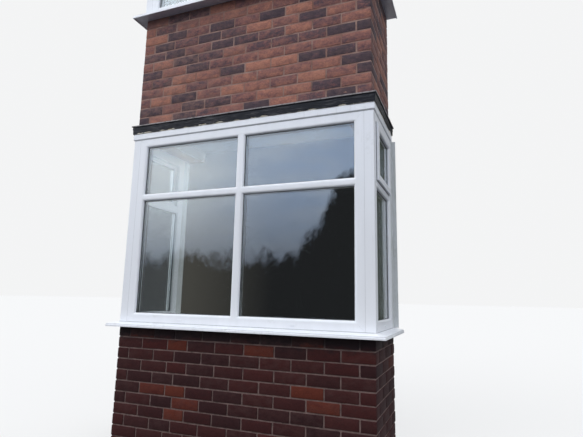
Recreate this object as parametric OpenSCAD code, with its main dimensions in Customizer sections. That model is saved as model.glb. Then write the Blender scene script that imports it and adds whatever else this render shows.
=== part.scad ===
// Two-storey square bay window of brick, with white plastic frames and a small hipped slate roof.
// Millimetres, +Z up, front faces -Y. The origin is on the ground, at the middle of the bounding box.
// Inside the modules Y is counted from the outer face of the front frame, inwards.

/* [Bay] */
// Outside width of the windows, from corner post to corner post
bay_w = 2080; // [1800:10:2600]
// How far the front window's face stands out from the wall line at the back
bay_d = 730; // [660:10:1000]

/* [Brickwork] */
// Height of one course of the base, with its joint
base_course = 83; // [70:1:90]
// Courses of the base, from the ground to the lower sill
base_courses = 11; // [8:1:14]
// Height of one course of the spandrel, with its joint
spandrel_course = 85; // [70:1:95]
// Courses of the spandrel, from the lower head to the upper sill
spandrel_courses = 12; // [11:1:15]
// Thickness of the brick walls
wall_t = 215; // [180:5:240]
// How far the base's face lies behind the front frame's face
base_back = 4; // [2:1:20]
// How far the spandrel's face lies behind the front frame's face
spandrel_back = 16; // [4:1:30]
// Thickness of plaster and ceiling sheets
plaster_t = 13; // [8:1:20]

/* [Window frames] */
// Height of a window frame, from its foot on the sill to its top
window_h = 1526; // [1400:2:1700]
// Depth of the frame bars, front to back
frame_d = 70; // [64:1:80]
// Face width of the outer bars
frame_face = 73; // [60:1:85]
// Face width of the mullion
mullion_w = 67; // [58:1:80]
// Face width of the transoms
transom_w = 58; // [54:1:70]
// Height of a transom's centre line above the frame's foot
transom_z = 1016; // [850:2:1100]
// Depth of the corner cover in front of a side frame
post_d = 16; // [12:1:30]
// Width of the filler between a side frame and the wall line
filler_w = 78; // [40:1:110]
// How far the filler's cover strip stands out along the wall line
strip_out = 35; // [20:1:50]
// Thickness of the filler's cover strip
strip_t = 12; // [6:1:18]
// Radius of the rounded outer corner of the posts
post_r = 6; // [2:1:10]

/* [Glazing] */
// Thickness of a sealed glass unit
glass_t = 28; // [20:1:30]
// Depth of the glass behind a bar's outer face
glass_back = 22; // [18:1:26]
// How far a bar's lip covers the edge of the glass
glass_cover = 12; // [8:1:15]
// Gap round the edge of a glass unit, inside the bar
glass_gap = 3; // [1:0.5:5]
// Width of the rounded slope between a bar's flat face and the glass
slope_w = 20; // [12:1:24]
// Fall of that slope
slope_fall = 14; // [8:1:16]
// Rounding of the inner bead
bead_r = 8; // [3:1:10]

/* [Opening lights] */
// Face width of a sash bar
sash_face = 56; // [50:1:85]
// How far a sash stands out from the side frame
sash_out = 17; // [12:1:20]
// How far a sash laps over the frame round its opening
sash_lap = 10; // [5:1:14]
// Gap between the body of a sash and the frame
sash_gap = 4; // [2:1:6]
// Depth of the body of a sash inside the frame
sash_in = 42; // [38:1:50]
// How far the frame's stop stands into the opening, behind the sash
stop_w = 9; // [8:1:16]
// How deep the stop is fused into the bars round it
stop_bond = 2; // [1:0.5:2]
// Gap between a shut sash and its stop, where the seal is
seal_gap = 0.3; // [0.2:0.1:0.8]

/* [Sills] */
// How far a sill's nose stands out from the frame's face
sill_out = 75; // [50:1:110]
// Height of a sill under the frame
sill_t = 30; // [25:1:40]
// Fall of a sill's top from the frame to the nose
sill_fall = 14; // [8:1:18]
// Height of the nose's drip below the sill
sill_drip = 7; // [3:1:12]
// Thickness of the nose's drip, front to back
drip_t = 9; // [6:1:14]
// Depth of the step along the nose
nose_step = 3; // [2:1:6]
// How far a sill reaches behind the frame's back
sill_tail = 10; // [4:1:20]

/* [Window boards] */
// Thickness of an indoor window board
board_t = 25; // [18:1:30]
// How far a window board stands out from the plaster
board_nose = 25; // [15:1:40]

/* [Heads] */
// Height from a frame's top to the brickwork above
head_h = 129; // [110:1:160]
// Height of the white trim above a frame
trim_h = 54; // [40:1:70]
// Thickness of the trim
trim_t = 18; // [12:1:24]
// How far the trim stands out from the frame's face
trim_out = 8; // [4:1:12]
// Depth and half the width of the groove along the trim's foot
trim_groove = 3; // [2:1:5]
// Thickness of the flashing sheet
sheet_t = 3; // [2:0.5:5]
// How far the flashing's lip stands out from the frame's face
lip_out = 22; // [16:1:35]
// Height of the flashing's hanging edge
apron_h = 66; // [40:1:70]
// Gap between the hanging edge's foot and the trim's outer face
apron_gap = 1; // [0.5:0.5:4]

/* [Floors] */
// Height of the ground floor above the ground
ground_floor_z = 150; // [80:5:300]
// Height of the lower ceiling above the lower frame's top
ceiling_up = 91; // [70:1:110]
// Depth of the floor joists
joist_h = 200; // [150:5:225]
// Thickness of the joists, rafters and ties
joist_t = 50; // [38:1:60]
// Number of joists, and of roof frames
joist_count = 5; // [4:1:6]
// Gap between the outer joists and the side walls
joist_edge = 24; // [10:1:60]
// Thickness of the floor boards
deck_t = 22; // [18:1:28]

/* [Roof] */
// Pitch of the roof slopes in degrees
pitch = 30; // [22:1:40]
// How far the fascia's face stands out from the front frame's face
eaves_out = 150; // [120:5:200]
// Height of the fascia board
fascia_h = 150; // [130:5:180]
// Thickness of the fascia board
fascia_t = 16; // [12:1:22]
// How far the fascia hangs below the soffit board
fascia_drop = 12; // [6:1:20]
// Thickness of the soffit board
soffit_t = 10; // [8:1:14]
// How far the soffit board reaches into the fascia
soffit_seat = 6; // [3:1:9]
// How far the slates reach past the fascia
slate_out = 35; // [25:1:45]
// Upright thickness of the slate covering
slate_t = 26; // [18:1:34]
// Upright thickness of the roof boards
boards_t = 21; // [16:1:28]
// Gap along a hip between the boards or slates of two slopes
hip_gap = 2; // [1:0.5:6]
// Upright thickness of the rafters
rafter_h = 115; // [90:5:140]
// Depth of the ceiling ties
tie_h = 100; // [80:5:120]
// Height of the lead upstand at the back of the roof
lead_up = 90; // [60:5:130]
// Width of the lead that lies on the slates
lead_flat = 120; // [80:5:160]
// Thickness of the lead
lead_t = 3; // [2:0.5:5]
// Radius of the lead rolls on the hips
roll_r = 18; // [12:1:24]
// Outside radius of the half-round gutter
gutter_r = 56; // [45:1:65]
// Wall thickness of the gutter
gutter_t = 3; // [2:0.5:4]
// Height of the gutter's rim above the soffit board
gutter_up = 88; // [70:1:100]

/* [Hidden] */

half_w = bay_w / 2;
curve_steps = 5;
far = 20000;

// Heights
base_top = base_course * base_courses;
ground_foot = base_top + sill_t;
ground_top = ground_foot + window_h;
spandrel_foot = ground_top + head_h;
spandrel_top = spandrel_foot + spandrel_course * spandrel_courses;
first_foot = spandrel_top + sill_t;
first_top = first_foot + window_h;
beam_h = head_h - sheet_t;
ceiling_z = ground_top + ceiling_up;
joist_z = ceiling_z + plaster_t;
deck_z = joist_z + joist_h;
first_floor_z = deck_z + deck_t;
plate_top = first_top + beam_h;
soffit_z = first_top + trim_h;
fascia_top = soffit_z - fascia_drop + fascia_h;

// Places in plan
base_in = base_back + wall_t;
spandrel_in = spandrel_back + wall_t;
beam_back = trim_t - trim_out;
side_len = bay_d - post_d - filler_w;
slope = tan(pitch);
slate_edge = eaves_out + slate_out;
roof_spare = 50;
gutter_mid = eaves_out + gutter_r;
box_front = gutter_mid + gutter_r;
origin_y = (bay_d - box_front) / 2;

// Moves a piece from the building's own Y to the part's origin.
module placed() {
    translate([0, -origin_y, 0]) children();
}

// Mirrors a piece of the right side to the left side.
module on_left() {
    mirror([1, 0, 0]) children();
}

// A box between two opposite corners.
module block(low, high) {
    translate(low) cube(high - low);
}

// Points of the rounded slope from a bar's flat face, at x, down to the glass side.
function slope_points(x) = [
    for (i = [0 : curve_steps])
        let (a = 90 * i / curve_steps)
        [x + slope_w * sin(a), slope_fall * (1 - cos(a))]
];

function reversed(points) = [for (i = [len(points) - 1 : -1 : 0]) points[i]];

function mirrored(points) = [for (p = reversed(points)) [-p.x, p.y]];

// Half of a bar's outline on the side of the glass: slope, glass groove and inner bead.
// The face edge lies at x = edge, and y is the depth behind the outer face.
function glass_side(edge, depth) = concat(
    slope_points(edge - slope_w),
    [
        [edge, glass_back],
        [edge - glass_cover, glass_back],
        [edge - glass_cover, glass_back + glass_t],
        [edge, glass_back + glass_t],
        [edge, depth - bead_r],
        [edge - bead_r, depth]
    ]
);

function outer_bar_outline() = concat([[0, 0]], glass_side(frame_face, frame_d), [[0, frame_d]]);

function middle_bar_outline(w) = concat(glass_side(w / 2, frame_d), mirrored(glass_side(w / 2, frame_d)));

// Body of a sash bar, which stands inside the opening
function sash_body_outline() =
    let (depth = sash_out + sash_in)
    concat([[0, 0]], glass_side(sash_face - sash_step, depth), [[0, depth]]);

// Outer flange of a sash bar, which laps over the frame
function sash_flange_outline() =
    [[0, 0], [sash_face - slope_w, 0], [sash_face - slope_w, sash_out], [0, sash_out]];

// A straight bar along +X, its outline's x pointing up and its depth pointing to +Y.
module bar_along_x(outline, length) {
    rotate([90, 0, 90]) linear_extrude(length) polygon([for (p = outline) [p.y, p.x]]);
}

// Stands a piece that lies along +X on its end, so that its face points to +X.
module upright() {
    mirror([1, 0, 0]) rotate([0, -90, 0]) children();
}

// Four bars round a rectangle w wide and h high. An outline is solid from its outer edge inwards,
// so bars that run through the corners leave the same mitred inner edge as mitred ones.
module ring(outline, w, h) {
    bar_along_x(outline, w);
    translate([0, 0, h]) mirror([0, 0, 1]) bar_along_x(outline, w);
    upright() bar_along_x(outline, h);
    translate([w, 0, 0]) mirror([1, 0, 0]) upright() bar_along_x(outline, h);
}

// A transom across a frame w wide, fused with the grooves of its jambs.
module transom(w) {
    reach = frame_face - glass_cover;
    translate([reach, 0, transom_z]) bar_along_x(middle_bar_outline(transom_w), w - 2 * reach);
}

// A mullion at the middle of a frame w wide.
module mullion(w) {
    reach = frame_face - glass_cover;
    translate([w / 2, 0, reach])
        upright() bar_along_x(middle_bar_outline(mullion_w), window_h - 2 * reach);
}

// Turns a frame that was drawn along +X, face to -Y, into the right side wall, face to +X.
// Its x = 0 edge comes to the front.
module to_right_side(start, foot) {
    translate([half_w, start, foot]) rotate([0, 0, 90]) children();
}

// One straight run along the front of a moulding that wraps the bay.
// Its outline is given as [distance out from the frame's face, height].
module front_run(outline, out, inner, z) {
    intersection() {
        translate([-half_w - out, 0, z])
            rotate([90, 0, 90])
                linear_extrude(bay_w + 2 * out) polygon([for (p = outline) [-p.x, p.y]]);
        linear_extrude(far, center = true)
            polygon([
                [-half_w - out, -out], [half_w + out, -out],
                [half_w - inner, inner], [-half_w + inner, inner]
            ]);
    }
}

// The run along the right side, mitred to the front one and cut off at the wall line.
module side_run(outline, out, inner, z) {
    intersection() {
        translate([half_w, bay_d, z])
            rotate([90, 0, 0]) linear_extrude(bay_d + out) polygon(outline);
        linear_extrude(far, center = true)
            polygon([
                [half_w + out, -out], [half_w + out, bay_d],
                [half_w - inner, bay_d], [half_w - inner, inner]
            ]);
    }
}

// All three runs of a moulding as one piece.
module wrapped(outline, out, inner, z) {
    front_run(outline, out, inner, z);
    side_run(outline, out, inner, z);
    on_left() side_run(outline, out, inner, z);
}

// A plain band round three sides: outer and inner faces as distances behind the frame's face.
module band(outer, inner, z_low, z_high) {
    difference() {
        block([-half_w + outer, outer, z_low], [half_w - outer, bay_d, z_high]);
        block([-half_w + inner, inner, z_low - 1], [half_w - inner, bay_d + 1, z_high + 1]);
    }
}

// Brickwork
module wall_front(back, z_low, z_high) {
    block([-half_w + back, back, z_low], [half_w - back, back + wall_t, z_high]);
}

module wall_right(back, z_low, z_high) {
    block([half_w - back - wall_t, back + wall_t, z_low], [half_w - back, bay_d, z_high]);
}

module base_wall_front() {
    color([0.30, 0.13, 0.11]) placed() wall_front(base_back, 0, base_top);
}

module base_wall_right() {
    color([0.30, 0.13, 0.11]) placed() wall_right(base_back, 0, base_top);
}

module base_wall_left() {
    color([0.30, 0.13, 0.11]) placed() on_left() wall_right(base_back, 0, base_top);
}

module spandrel_wall_front() {
    color([0.48, 0.25, 0.20]) placed() wall_front(spandrel_back, spandrel_foot, spandrel_top);
}

module spandrel_wall_right() {
    color([0.48, 0.25, 0.20]) placed() wall_right(spandrel_back, spandrel_foot, spandrel_top);
}

module spandrel_wall_left() {
    color([0.48, 0.25, 0.20])
        placed() on_left() wall_right(spandrel_back, spandrel_foot, spandrel_top);
}

// Floors, ceilings and plaster
module ground_floor() {
    color([0.62, 0.50, 0.36])
        placed()
            block([-half_w + base_in, base_in, 0], [half_w - base_in, bay_d, ground_floor_z]);
}

module floor_boards() {
    color([0.62, 0.48, 0.32])
        placed()
            block(
                [-half_w + spandrel_in, spandrel_in, deck_z],
                [half_w - spandrel_in, bay_d, first_floor_z]
            );
}

joist_span = bay_w - 2 * (spandrel_in + joist_edge) - joist_t;

// Centre line of joist i, counted from the left.
function joist_x(i) = -joist_span / 2 + joist_span * i / (joist_count - 1);

module floor_joists() {
    color([0.66, 0.52, 0.35])
        placed()
            for (i = [0 : joist_count - 1])
                block(
                    [joist_x(i) - joist_t / 2, spandrel_in, joist_z],
                    [joist_x(i) + joist_t / 2, bay_d, deck_z]
                );
}

module ceiling(z) {
    block([-half_w + spandrel_in, spandrel_in, z], [half_w - spandrel_in, bay_d, z + plaster_t]);
}

module ceilings() {
    color([0.90, 0.89, 0.86]) placed() {
        ceiling(ceiling_z);
        ceiling(plate_top - plaster_t);
    }
}

module wall_plaster() {
    color([0.86, 0.82, 0.74]) placed() {
        band(base_in, base_in + plaster_t, ground_floor_z, base_top);
        band(spandrel_in, spandrel_in + plaster_t, ground_top, ceiling_z);
        band(spandrel_in, spandrel_in + plaster_t, first_floor_z, spandrel_top);
        band(spandrel_in, spandrel_in + plaster_t, first_top, plate_top - plaster_t);
    }
}

module head_beams() {
    color([0.55, 0.42, 0.30]) placed() {
        band(beam_back, spandrel_in, ground_top, ground_top + beam_h);
        band(beam_back, spandrel_in, first_top, plate_top);
    }
}

// Sills: sloping top, stepped nose with a drip, flat seat under the frame
sill_inner = frame_d + sill_tail;

function sill_outline() =
    let (nose_h = sill_t + sill_drip - sill_fall)
    [
        [-sill_inner, 0], [0, 0],
        [sill_out - nose_step, -sill_fall],
        [sill_out - nose_step, -sill_fall - nose_h / 3],
        [sill_out, -sill_fall - nose_h / 3 - nose_step],
        [sill_out, -sill_t - sill_drip],
        [sill_out - drip_t, -sill_t - sill_drip],
        [sill_out - drip_t, -sill_t],
        [-sill_inner, -sill_t]
    ];

module sill_front(foot) {
    color([0.93, 0.94, 0.96]) placed() front_run(sill_outline(), sill_out, sill_inner, foot);
}

module sill_right(foot) {
    color([0.93, 0.94, 0.96]) placed() side_run(sill_outline(), sill_out, sill_inner, foot);
}

module sill_left(foot) {
    color([0.93, 0.94, 0.96])
        placed() on_left() side_run(sill_outline(), sill_out, sill_inner, foot);
}

// Indoor window board on top of the wall, with its nose over the plaster
module window_board(top, wall_in) {
    color([0.92, 0.92, 0.90])
        placed() band(sill_inner, wall_in + plaster_t + board_nose, top, top + board_t);
}

// Frames
front_w = bay_w - 2 * frame_d;

module frame_front(foot) {
    color([0.94, 0.95, 0.97]) placed() translate([-front_w / 2, 0, foot]) {
        ring(outer_bar_outline(), front_w, window_h);
        transom(front_w);
        mullion(front_w);
    }
}

// Ring round an opening light: it fills the glass grooves and ends in the stop the sash shuts on
module sash_stop() {
    hidden = glass_cover + stop_bond;
    filled = hidden + stop_w;
    seat = sash_in + seal_gap;
    front = glass_back - stop_bond;
    inset = frame_face - hidden;
    translate([inset, 0, light_low - hidden])
        ring(
            [
                [0, front], [hidden, front], [hidden, seat],
                [filled, seat], [filled, frame_d], [0, frame_d]
            ],
            side_len - 2 * inset, light_high - light_low + 2 * hidden
        );
}

module side_frame(foot) {
    to_right_side(post_d, foot) {
        ring(outer_bar_outline(), side_len, window_h);
        transom(side_len);
        sash_stop();
    }
}

module frame_right(foot) {
    color([0.94, 0.95, 0.97]) placed() side_frame(foot);
}

module frame_left(foot) {
    color([0.94, 0.95, 0.97]) placed() on_left() side_frame(foot);
}

// Corner covers in front of the side frames, rounded on their outer corner
module corner_post(foot) {
    translate([0, 0, foot]) linear_extrude(window_h) difference() {
        translate([half_w - frame_d, 0]) square([frame_d, post_d]);
        difference() {
            translate([half_w - post_r, 0]) square(post_r);
            translate([half_w - post_r, post_r]) circle(post_r, $fn = 48);
        }
    }
}

module corner_posts(foot) {
    color([0.94, 0.95, 0.97]) placed() {
        corner_post(foot);
        on_left() corner_post(foot);
    }
}

// Fillers behind the side frames, with a strip that covers the joint
module wall_filler(foot) {
    translate([0, 0, foot]) linear_extrude(window_h) union() {
        translate([half_w - frame_d, post_d + side_len]) square([frame_d, filler_w]);
        translate([half_w - frame_d, bay_d - strip_t]) square([frame_d + strip_out, strip_t]);
    }
}

module wall_fillers(foot) {
    color([0.82, 0.83, 0.84]) placed() {
        wall_filler(foot);
        on_left() wall_filler(foot);
    }
}

// Opening lights in the upper part of the side frames
light_low = transom_z + transom_w / 2;
light_high = window_h - frame_face;
light_w = side_len - 2 * frame_face;
sash_w = light_w + 2 * sash_lap;
sash_h = light_high - light_low + 2 * sash_lap;
sash_step = sash_lap + sash_gap;

module vent(foot) {
    to_right_side(post_d, foot)
        translate([frame_face - sash_lap, -sash_out, light_low - sash_lap]) {
            ring(sash_flange_outline(), sash_w, sash_h);
            translate([sash_step, 0, sash_step])
                ring(sash_body_outline(), sash_w - 2 * sash_step, sash_h - 2 * sash_step);
        }
}

module vent_right(foot) {
    color([0.94, 0.95, 0.97]) placed() vent(foot);
}

module vent_left(foot) {
    color([0.94, 0.95, 0.97]) placed() on_left() vent(foot);
}

// Sealed units: each fills a daylight opening and the grooves round it
module pane(low, high, depth) {
    grow = glass_cover - glass_gap;
    block(
        [low.x - grow, depth, low.y - grow],
        [high.x + grow, depth + glass_t, high.y + grow]
    );
}

module front_panes(foot) {
    near = mullion_w / 2;
    edge = front_w / 2 - frame_face;
    translate([0, 0, foot])
        for (span = [[-edge, -near], [near, edge]]) {
            pane([span[0], frame_face], [span[1], transom_z - transom_w / 2], glass_back);
            pane([span[0], light_low], [span[1], light_high], glass_back);
        }
}

module side_panes(foot) {
    to_right_side(post_d, foot) {
        pane([frame_face, frame_face], [side_len - frame_face, transom_z - transom_w / 2], glass_back);
        pane(
            [frame_face - sash_lap + sash_face, light_low - sash_lap + sash_face],
            [side_len - frame_face + sash_lap - sash_face, light_high + sash_lap - sash_face],
            glass_back - sash_out
        );
    }
}

module glazing(foot) {
    color([0.55, 0.62, 0.68, 0.45]) placed() {
        front_panes(foot);
        side_panes(foot);
        on_left() side_panes(foot);
    }
}

// White trim above the frames, with a groove along its foot
function trim_outline() = [
    [-beam_back, 0], [trim_out - 2 * trim_groove, 0],
    [trim_out - trim_groove, trim_groove], [trim_out, 2 * trim_groove],
    [trim_out, trim_h - trim_groove], [trim_out - trim_groove, trim_h], [-beam_back, trim_h]
];

module head_trim(z) {
    color([0.95, 0.96, 0.98]) placed() wrapped(trim_outline(), trim_out, beam_back, z);
}

// Flashing under the spandrel: a sheet in the joint, a lip and a hanging edge
function flashing_outline() =
    let (foot = trim_out + apron_gap)
    [
        [-spandrel_in, 0], [lip_out, 0], [foot + sheet_t, -apron_h], [foot, -apron_h],
        [lip_out - sheet_t, -sheet_t], [-spandrel_in, -sheet_t]
    ];

module flashing() {
    color([0.09, 0.09, 0.10])
        placed() wrapped(flashing_outline(), lip_out, spandrel_in, spandrel_foot);
}

// Eaves
module eaves_boards() {
    color([0.92, 0.93, 0.94]) placed() {
        band(-eaves_out + fascia_t - soffit_seat, beam_back, soffit_z, soffit_z + soffit_t);
        band(-eaves_out, -eaves_out + fascia_t, fascia_top - fascia_h, fascia_top);
    }
}

// Half-round gutter section, from the fascia's face outwards
gutter_steps = 12;

function half_round(r) = [
    for (i = [0 : gutter_steps])
        let (a = 180 + 180 * i / gutter_steps)
        [gutter_mid + r * cos(a), r * sin(a)]
];

function gutter_outline() = concat(half_round(gutter_r), reversed(half_round(gutter_r - gutter_t)));

module gutter_end() {
    translate([half_w, bay_d, soffit_z + gutter_up])
        rotate([90, 0, 0]) linear_extrude(gutter_t) polygon(half_round(gutter_r));
}

module gutter() {
    color([0.07, 0.07, 0.08]) placed() {
        wrapped(gutter_outline(), box_front, -eaves_out, soffit_z + gutter_up);
        gutter_end();
        on_left() gutter_end();
    }
}

// Roof. Heights of its layers are counted from the underside of the roof boards, which meets
// the fascia's top. This is all that lies under the hipped surface at that height.
module under_slopes(raised) {
    edge = slate_edge + roof_spare;
    side = half_w + edge;
    back = bay_d + roof_spare;
    low = -2 * fascia_h;
    eaves = (eaves_out - edge) * slope;
    translate([0, 0, fascia_top + raised]) intersection() {
        translate([-side, 0, 0])
            rotate([90, 0, 90])
                linear_extrude(2 * side)
                    polygon([[-edge, low], [back, low], [back, (back + eaves_out) * slope], [-edge, eaves]]);
        translate([0, back, 0])
            rotate([90, 0, 0])
                linear_extrude(back + edge)
                    polygon([
                        [-side, low], [side, low], [side, eaves],
                        [0, (half_w + eaves_out) * slope], [-side, eaves]
                    ]);
    }
}

// The building's plan, grown by a distance at the front and sides, from the ground to the sky
module plan_block(out) {
    block([-half_w - out, -out, 0], [half_w + out, bay_d, far]);
}

// The layer between two heights, out to a distance from the frame's face
module roof_layer(out, low, high) {
    intersection() {
        difference() {
            under_slopes(high);
            under_slopes(low);
        }
        plan_block(out);
    }
}

// Thin upright cut along the right hip, from past the eaves to the ridge
module hip_cut() {
    past = slate_edge + roof_spare;
    translate([half_w + past, -past, 0])
        rotate([0, 0, 45])
            translate([-hip_gap / 2, 0, 0]) cube([hip_gap, (half_w + past) * sqrt(2), far]);
}

// A layer in three parts, one on each slope
module covering(out, low, high) {
    difference() {
        roof_layer(out, low, high);
        hip_cut();
        on_left() hip_cut();
    }
}

module roof_boards() {
    color([0.58, 0.45, 0.30]) placed() covering(eaves_out, 0, boards_t);
}

module roof_slates() {
    color([0.22, 0.23, 0.27]) placed() covering(slate_edge, boards_t, boards_t + slate_t);
}

// Rafters with a ceiling tie across the foot of each
module roof_timbers() {
    inner = eaves_out - fascia_t;
    color([0.66, 0.52, 0.35]) placed()
        for (i = [0 : joist_count - 1])
            intersection() {
                union() {
                    difference() {
                        roof_layer(inner, -rafter_h, 0);
                        block([-far, -far, 0], [far, beam_back, plate_top]);
                    }
                    intersection() {
                        block([-half_w, beam_back, plate_top], [half_w, bay_d, plate_top + tie_h]);
                        under_slopes(0);
                    }
                }
                block([joist_x(i) - joist_t / 2, -far, 0], [joist_x(i) + joist_t / 2, bay_d, far]);
            }
}

// Lead: upstand and cover along the back, and a roll over each hip
module roof_leadwork() {
    top = boards_t + slate_t;
    past = slate_edge + roof_spare;
    color([0.42, 0.43, 0.46]) placed() {
        intersection() {
            roof_layer(slate_edge, top, top + lead_t);
            block([-far, bay_d - lead_flat, 0], [far, bay_d, far]);
        }
        intersection() {
            roof_layer(slate_edge, top, top + lead_up);
            block([-far, bay_d - lead_t, 0], [far, bay_d, far]);
        }
        for (side = [-1, 1])
            intersection() {
                translate([side * (half_w + past), -past, fascia_top + top + (eaves_out - past) * slope])
                    rotate([0, 0, side * 45])
                        rotate([-90 + atan(slope / sqrt(2)), 0, 0])
                            cylinder(h = (bay_d + past) * 2, r = roll_r, $fn = 24);
                difference() {
                    block([-far, -slate_edge, 0], [far, bay_d, far]);
                    under_slopes(top);
                }
            }
    }
}

base_wall_front();
base_wall_left();
base_wall_right();
ground_floor();
sill_front(ground_foot);  // ground_sill_front
sill_left(ground_foot);  // ground_sill_left
sill_right(ground_foot);  // ground_sill_right
frame_front(ground_foot);  // ground_frame_front
frame_left(ground_foot);  // ground_frame_left
frame_right(ground_foot);  // ground_frame_right
corner_posts(ground_foot);  // ground_corner_posts
vent_left(ground_foot);  // ground_vent_left
vent_right(ground_foot);  // ground_vent_right
glazing(ground_foot);  // ground_glazing
head_trim(ground_top);  // ground_head_trim
wall_fillers(ground_foot);  // ground_wall_fillers
window_board(base_top, base_in);  // ground_window_board
head_beams();
flashing();
spandrel_wall_front();
spandrel_wall_left();
spandrel_wall_right();
wall_plaster();
ceilings();
floor_joists();
floor_boards();
sill_front(first_foot);  // first_sill_front
sill_left(first_foot);  // first_sill_left
sill_right(first_foot);  // first_sill_right
frame_front(first_foot);  // first_frame_front
frame_left(first_foot);  // first_frame_left
frame_right(first_foot);  // first_frame_right
corner_posts(first_foot);  // first_corner_posts
vent_left(first_foot);  // first_vent_left
vent_right(first_foot);  // first_vent_right
glazing(first_foot);  // first_glazing
head_trim(first_top);  // first_head_trim
wall_fillers(first_foot);  // first_wall_fillers
window_board(spandrel_top, spandrel_in);  // first_window_board
roof_timbers();
roof_boards();
roof_slates();
roof_leadwork();
eaves_boards();
gutter();
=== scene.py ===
"""Two-storey square bay window: brickwork, plastic windows, sealed glass, flashing, floors and roof.

Lengths are metres in the part's own frame: x runs across the front, y from the front towards the
wall line at the back, z up from the ground.
"""

from __future__ import annotations

import functools
import logging
import math
import random
from dataclasses import dataclass, field
from enum import Enum
from typing import Any, Iterable, Sequence

import bmesh
import bpy
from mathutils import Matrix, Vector, noise

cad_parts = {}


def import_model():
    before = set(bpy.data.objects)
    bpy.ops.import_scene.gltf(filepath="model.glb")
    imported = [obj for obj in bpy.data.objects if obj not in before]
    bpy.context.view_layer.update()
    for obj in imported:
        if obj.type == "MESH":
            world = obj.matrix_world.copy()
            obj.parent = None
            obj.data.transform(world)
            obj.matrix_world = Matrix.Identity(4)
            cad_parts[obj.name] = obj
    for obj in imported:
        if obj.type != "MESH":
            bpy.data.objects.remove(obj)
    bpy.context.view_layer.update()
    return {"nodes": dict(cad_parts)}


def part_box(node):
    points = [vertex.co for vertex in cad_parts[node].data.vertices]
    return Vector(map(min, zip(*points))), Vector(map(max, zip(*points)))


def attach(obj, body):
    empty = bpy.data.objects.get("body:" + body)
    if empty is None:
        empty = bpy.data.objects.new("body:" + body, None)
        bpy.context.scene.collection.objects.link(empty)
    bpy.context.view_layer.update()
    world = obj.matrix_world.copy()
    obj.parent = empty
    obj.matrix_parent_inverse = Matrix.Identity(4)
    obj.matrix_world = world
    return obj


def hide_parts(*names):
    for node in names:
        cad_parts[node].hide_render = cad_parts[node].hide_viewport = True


logging.basicConfig(level=logging.INFO, format="%(levelname)s %(message)s")
log = logging.getLogger("bay")

Point = tuple[float, float, float]
Colour = tuple[float, float, float]
SHARP_EDGE = math.radians(30.0)
FLAT_FACE = math.radians(0.4)


@dataclass(frozen=True)
class BaySizes:
    """Main sizes of the bay, the same values as the solids have."""

    half_width: float = 1.040
    front: float = -0.234
    back: float = 0.496
    base_set_back: float = 0.004
    spandrel_set_back: float = 0.016
    wall: float = 0.215
    spandrel_foot: float = 2.598
    window: float = 1.526
    post: float = 0.970
    filler: float = 0.078
    fascia_top: float = 5.366
    eaves_out: float = 0.150
    slate_edge: float = 0.185
    gutter_rim: float = 5.316
    pitch: float = math.radians(30.0)

    @property
    def depth(self) -> float:
        """Distance from the frames' outer face to the back."""
        return self.back - self.front


BAY = BaySizes()


class Side(Enum):
    """The three outer sides of the bay."""

    FRONT = "front"
    LEFT = "left"
    RIGHT = "right"

    @property
    def hand(self) -> float:
        """One on the right, minus one on the left, nothing on the front."""
        return {"front": 0.0, "left": -1.0, "right": 1.0}[self.value]

    @property
    def turn(self) -> Point:
        """Turn of a part that was made to face the front."""
        return (0.0, 0.0, self.hand * math.pi / 2)

    def spot(self, along: float, depth: float, up: float) -> Vector:
        """Turn a place on this side into a point.

        Args:
            along: x on the front, or the distance behind the front face on a return.
            depth: distance behind the frames' outer face.
            up: height above the ground.

        Returns:
            The point in the part's frame.
        """
        if self is Side.FRONT:
            return Vector((along, BAY.front + depth, up))
        return Vector((self.hand * (BAY.half_width - depth), BAY.front + along, up))


RETURNS = (Side.RIGHT, Side.LEFT)


class Storey(Enum):
    """The two storeys, each with the height of its lower sill joint."""

    GROUND = 0.943
    FIRST = 3.648

    @property
    def word(self) -> str:
        """Name used at the start of this storey's piece and node names."""
        return self.name.lower()


class Slot(Enum):
    """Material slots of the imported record."""

    BASE_BRICK = "base_brick"
    SPANDREL_BRICK = "spandrel_brick"
    FRAME = "white_frame"
    SILL = "white_sill"
    TRIM = "white_trim"
    WEATHERED = "weathered_trim"
    BOARD = "white_board"
    GLASS = "window_glass"
    FLASHING = "black_flashing"
    PLASTER = "plaster"
    CONCRETE = "concrete"
    TIMBER = "timber"
    SLATE = "slate"
    LEAD = "lead"
    GUTTER = "black_gutter"


# Node graphs


class Value:
    """One output of a node. Arithmetic on it adds Math nodes."""

    def __init__(self, graph: Graph, node: bpy.types.Node, key: int | str = 0) -> None:
        """Note which output it is."""
        self.graph, self.node, self.key = graph, node, key

    def __getitem__(self, key: int | str) -> Value:
        """Another output of the same node."""
        return Value(self.graph, self.node, key)

    def math(self, operation: str, first: Any, second: Any = 0.0) -> Value:
        """Add a Math node in the same graph."""
        return self.graph.add("ShaderNodeMath", {0: first, 1: second}, operation=operation)

    def __add__(self, other: Any) -> Value:
        """The sum."""
        return self.math("ADD", self, other)

    def __sub__(self, other: Any) -> Value:
        """The difference."""
        return self.math("SUBTRACT", self, other)

    def __rsub__(self, other: float) -> Value:
        """The difference from a plain number."""
        return self.math("SUBTRACT", other, self)

    def __mul__(self, other: Any) -> Value:
        """The product."""
        return self.math("MULTIPLY", self, other)

    def __rtruediv__(self, other: float) -> Value:
        """A plain number divided by this."""
        return self.math("DIVIDE", other, self)

    def __abs__(self) -> Value:
        """The size without its sign."""
        return self.math("ABSOLUTE", self)

    def most(self, other: Any) -> Value:
        """The larger of the two."""
        return self.math("MAXIMUM", self, other)


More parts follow.
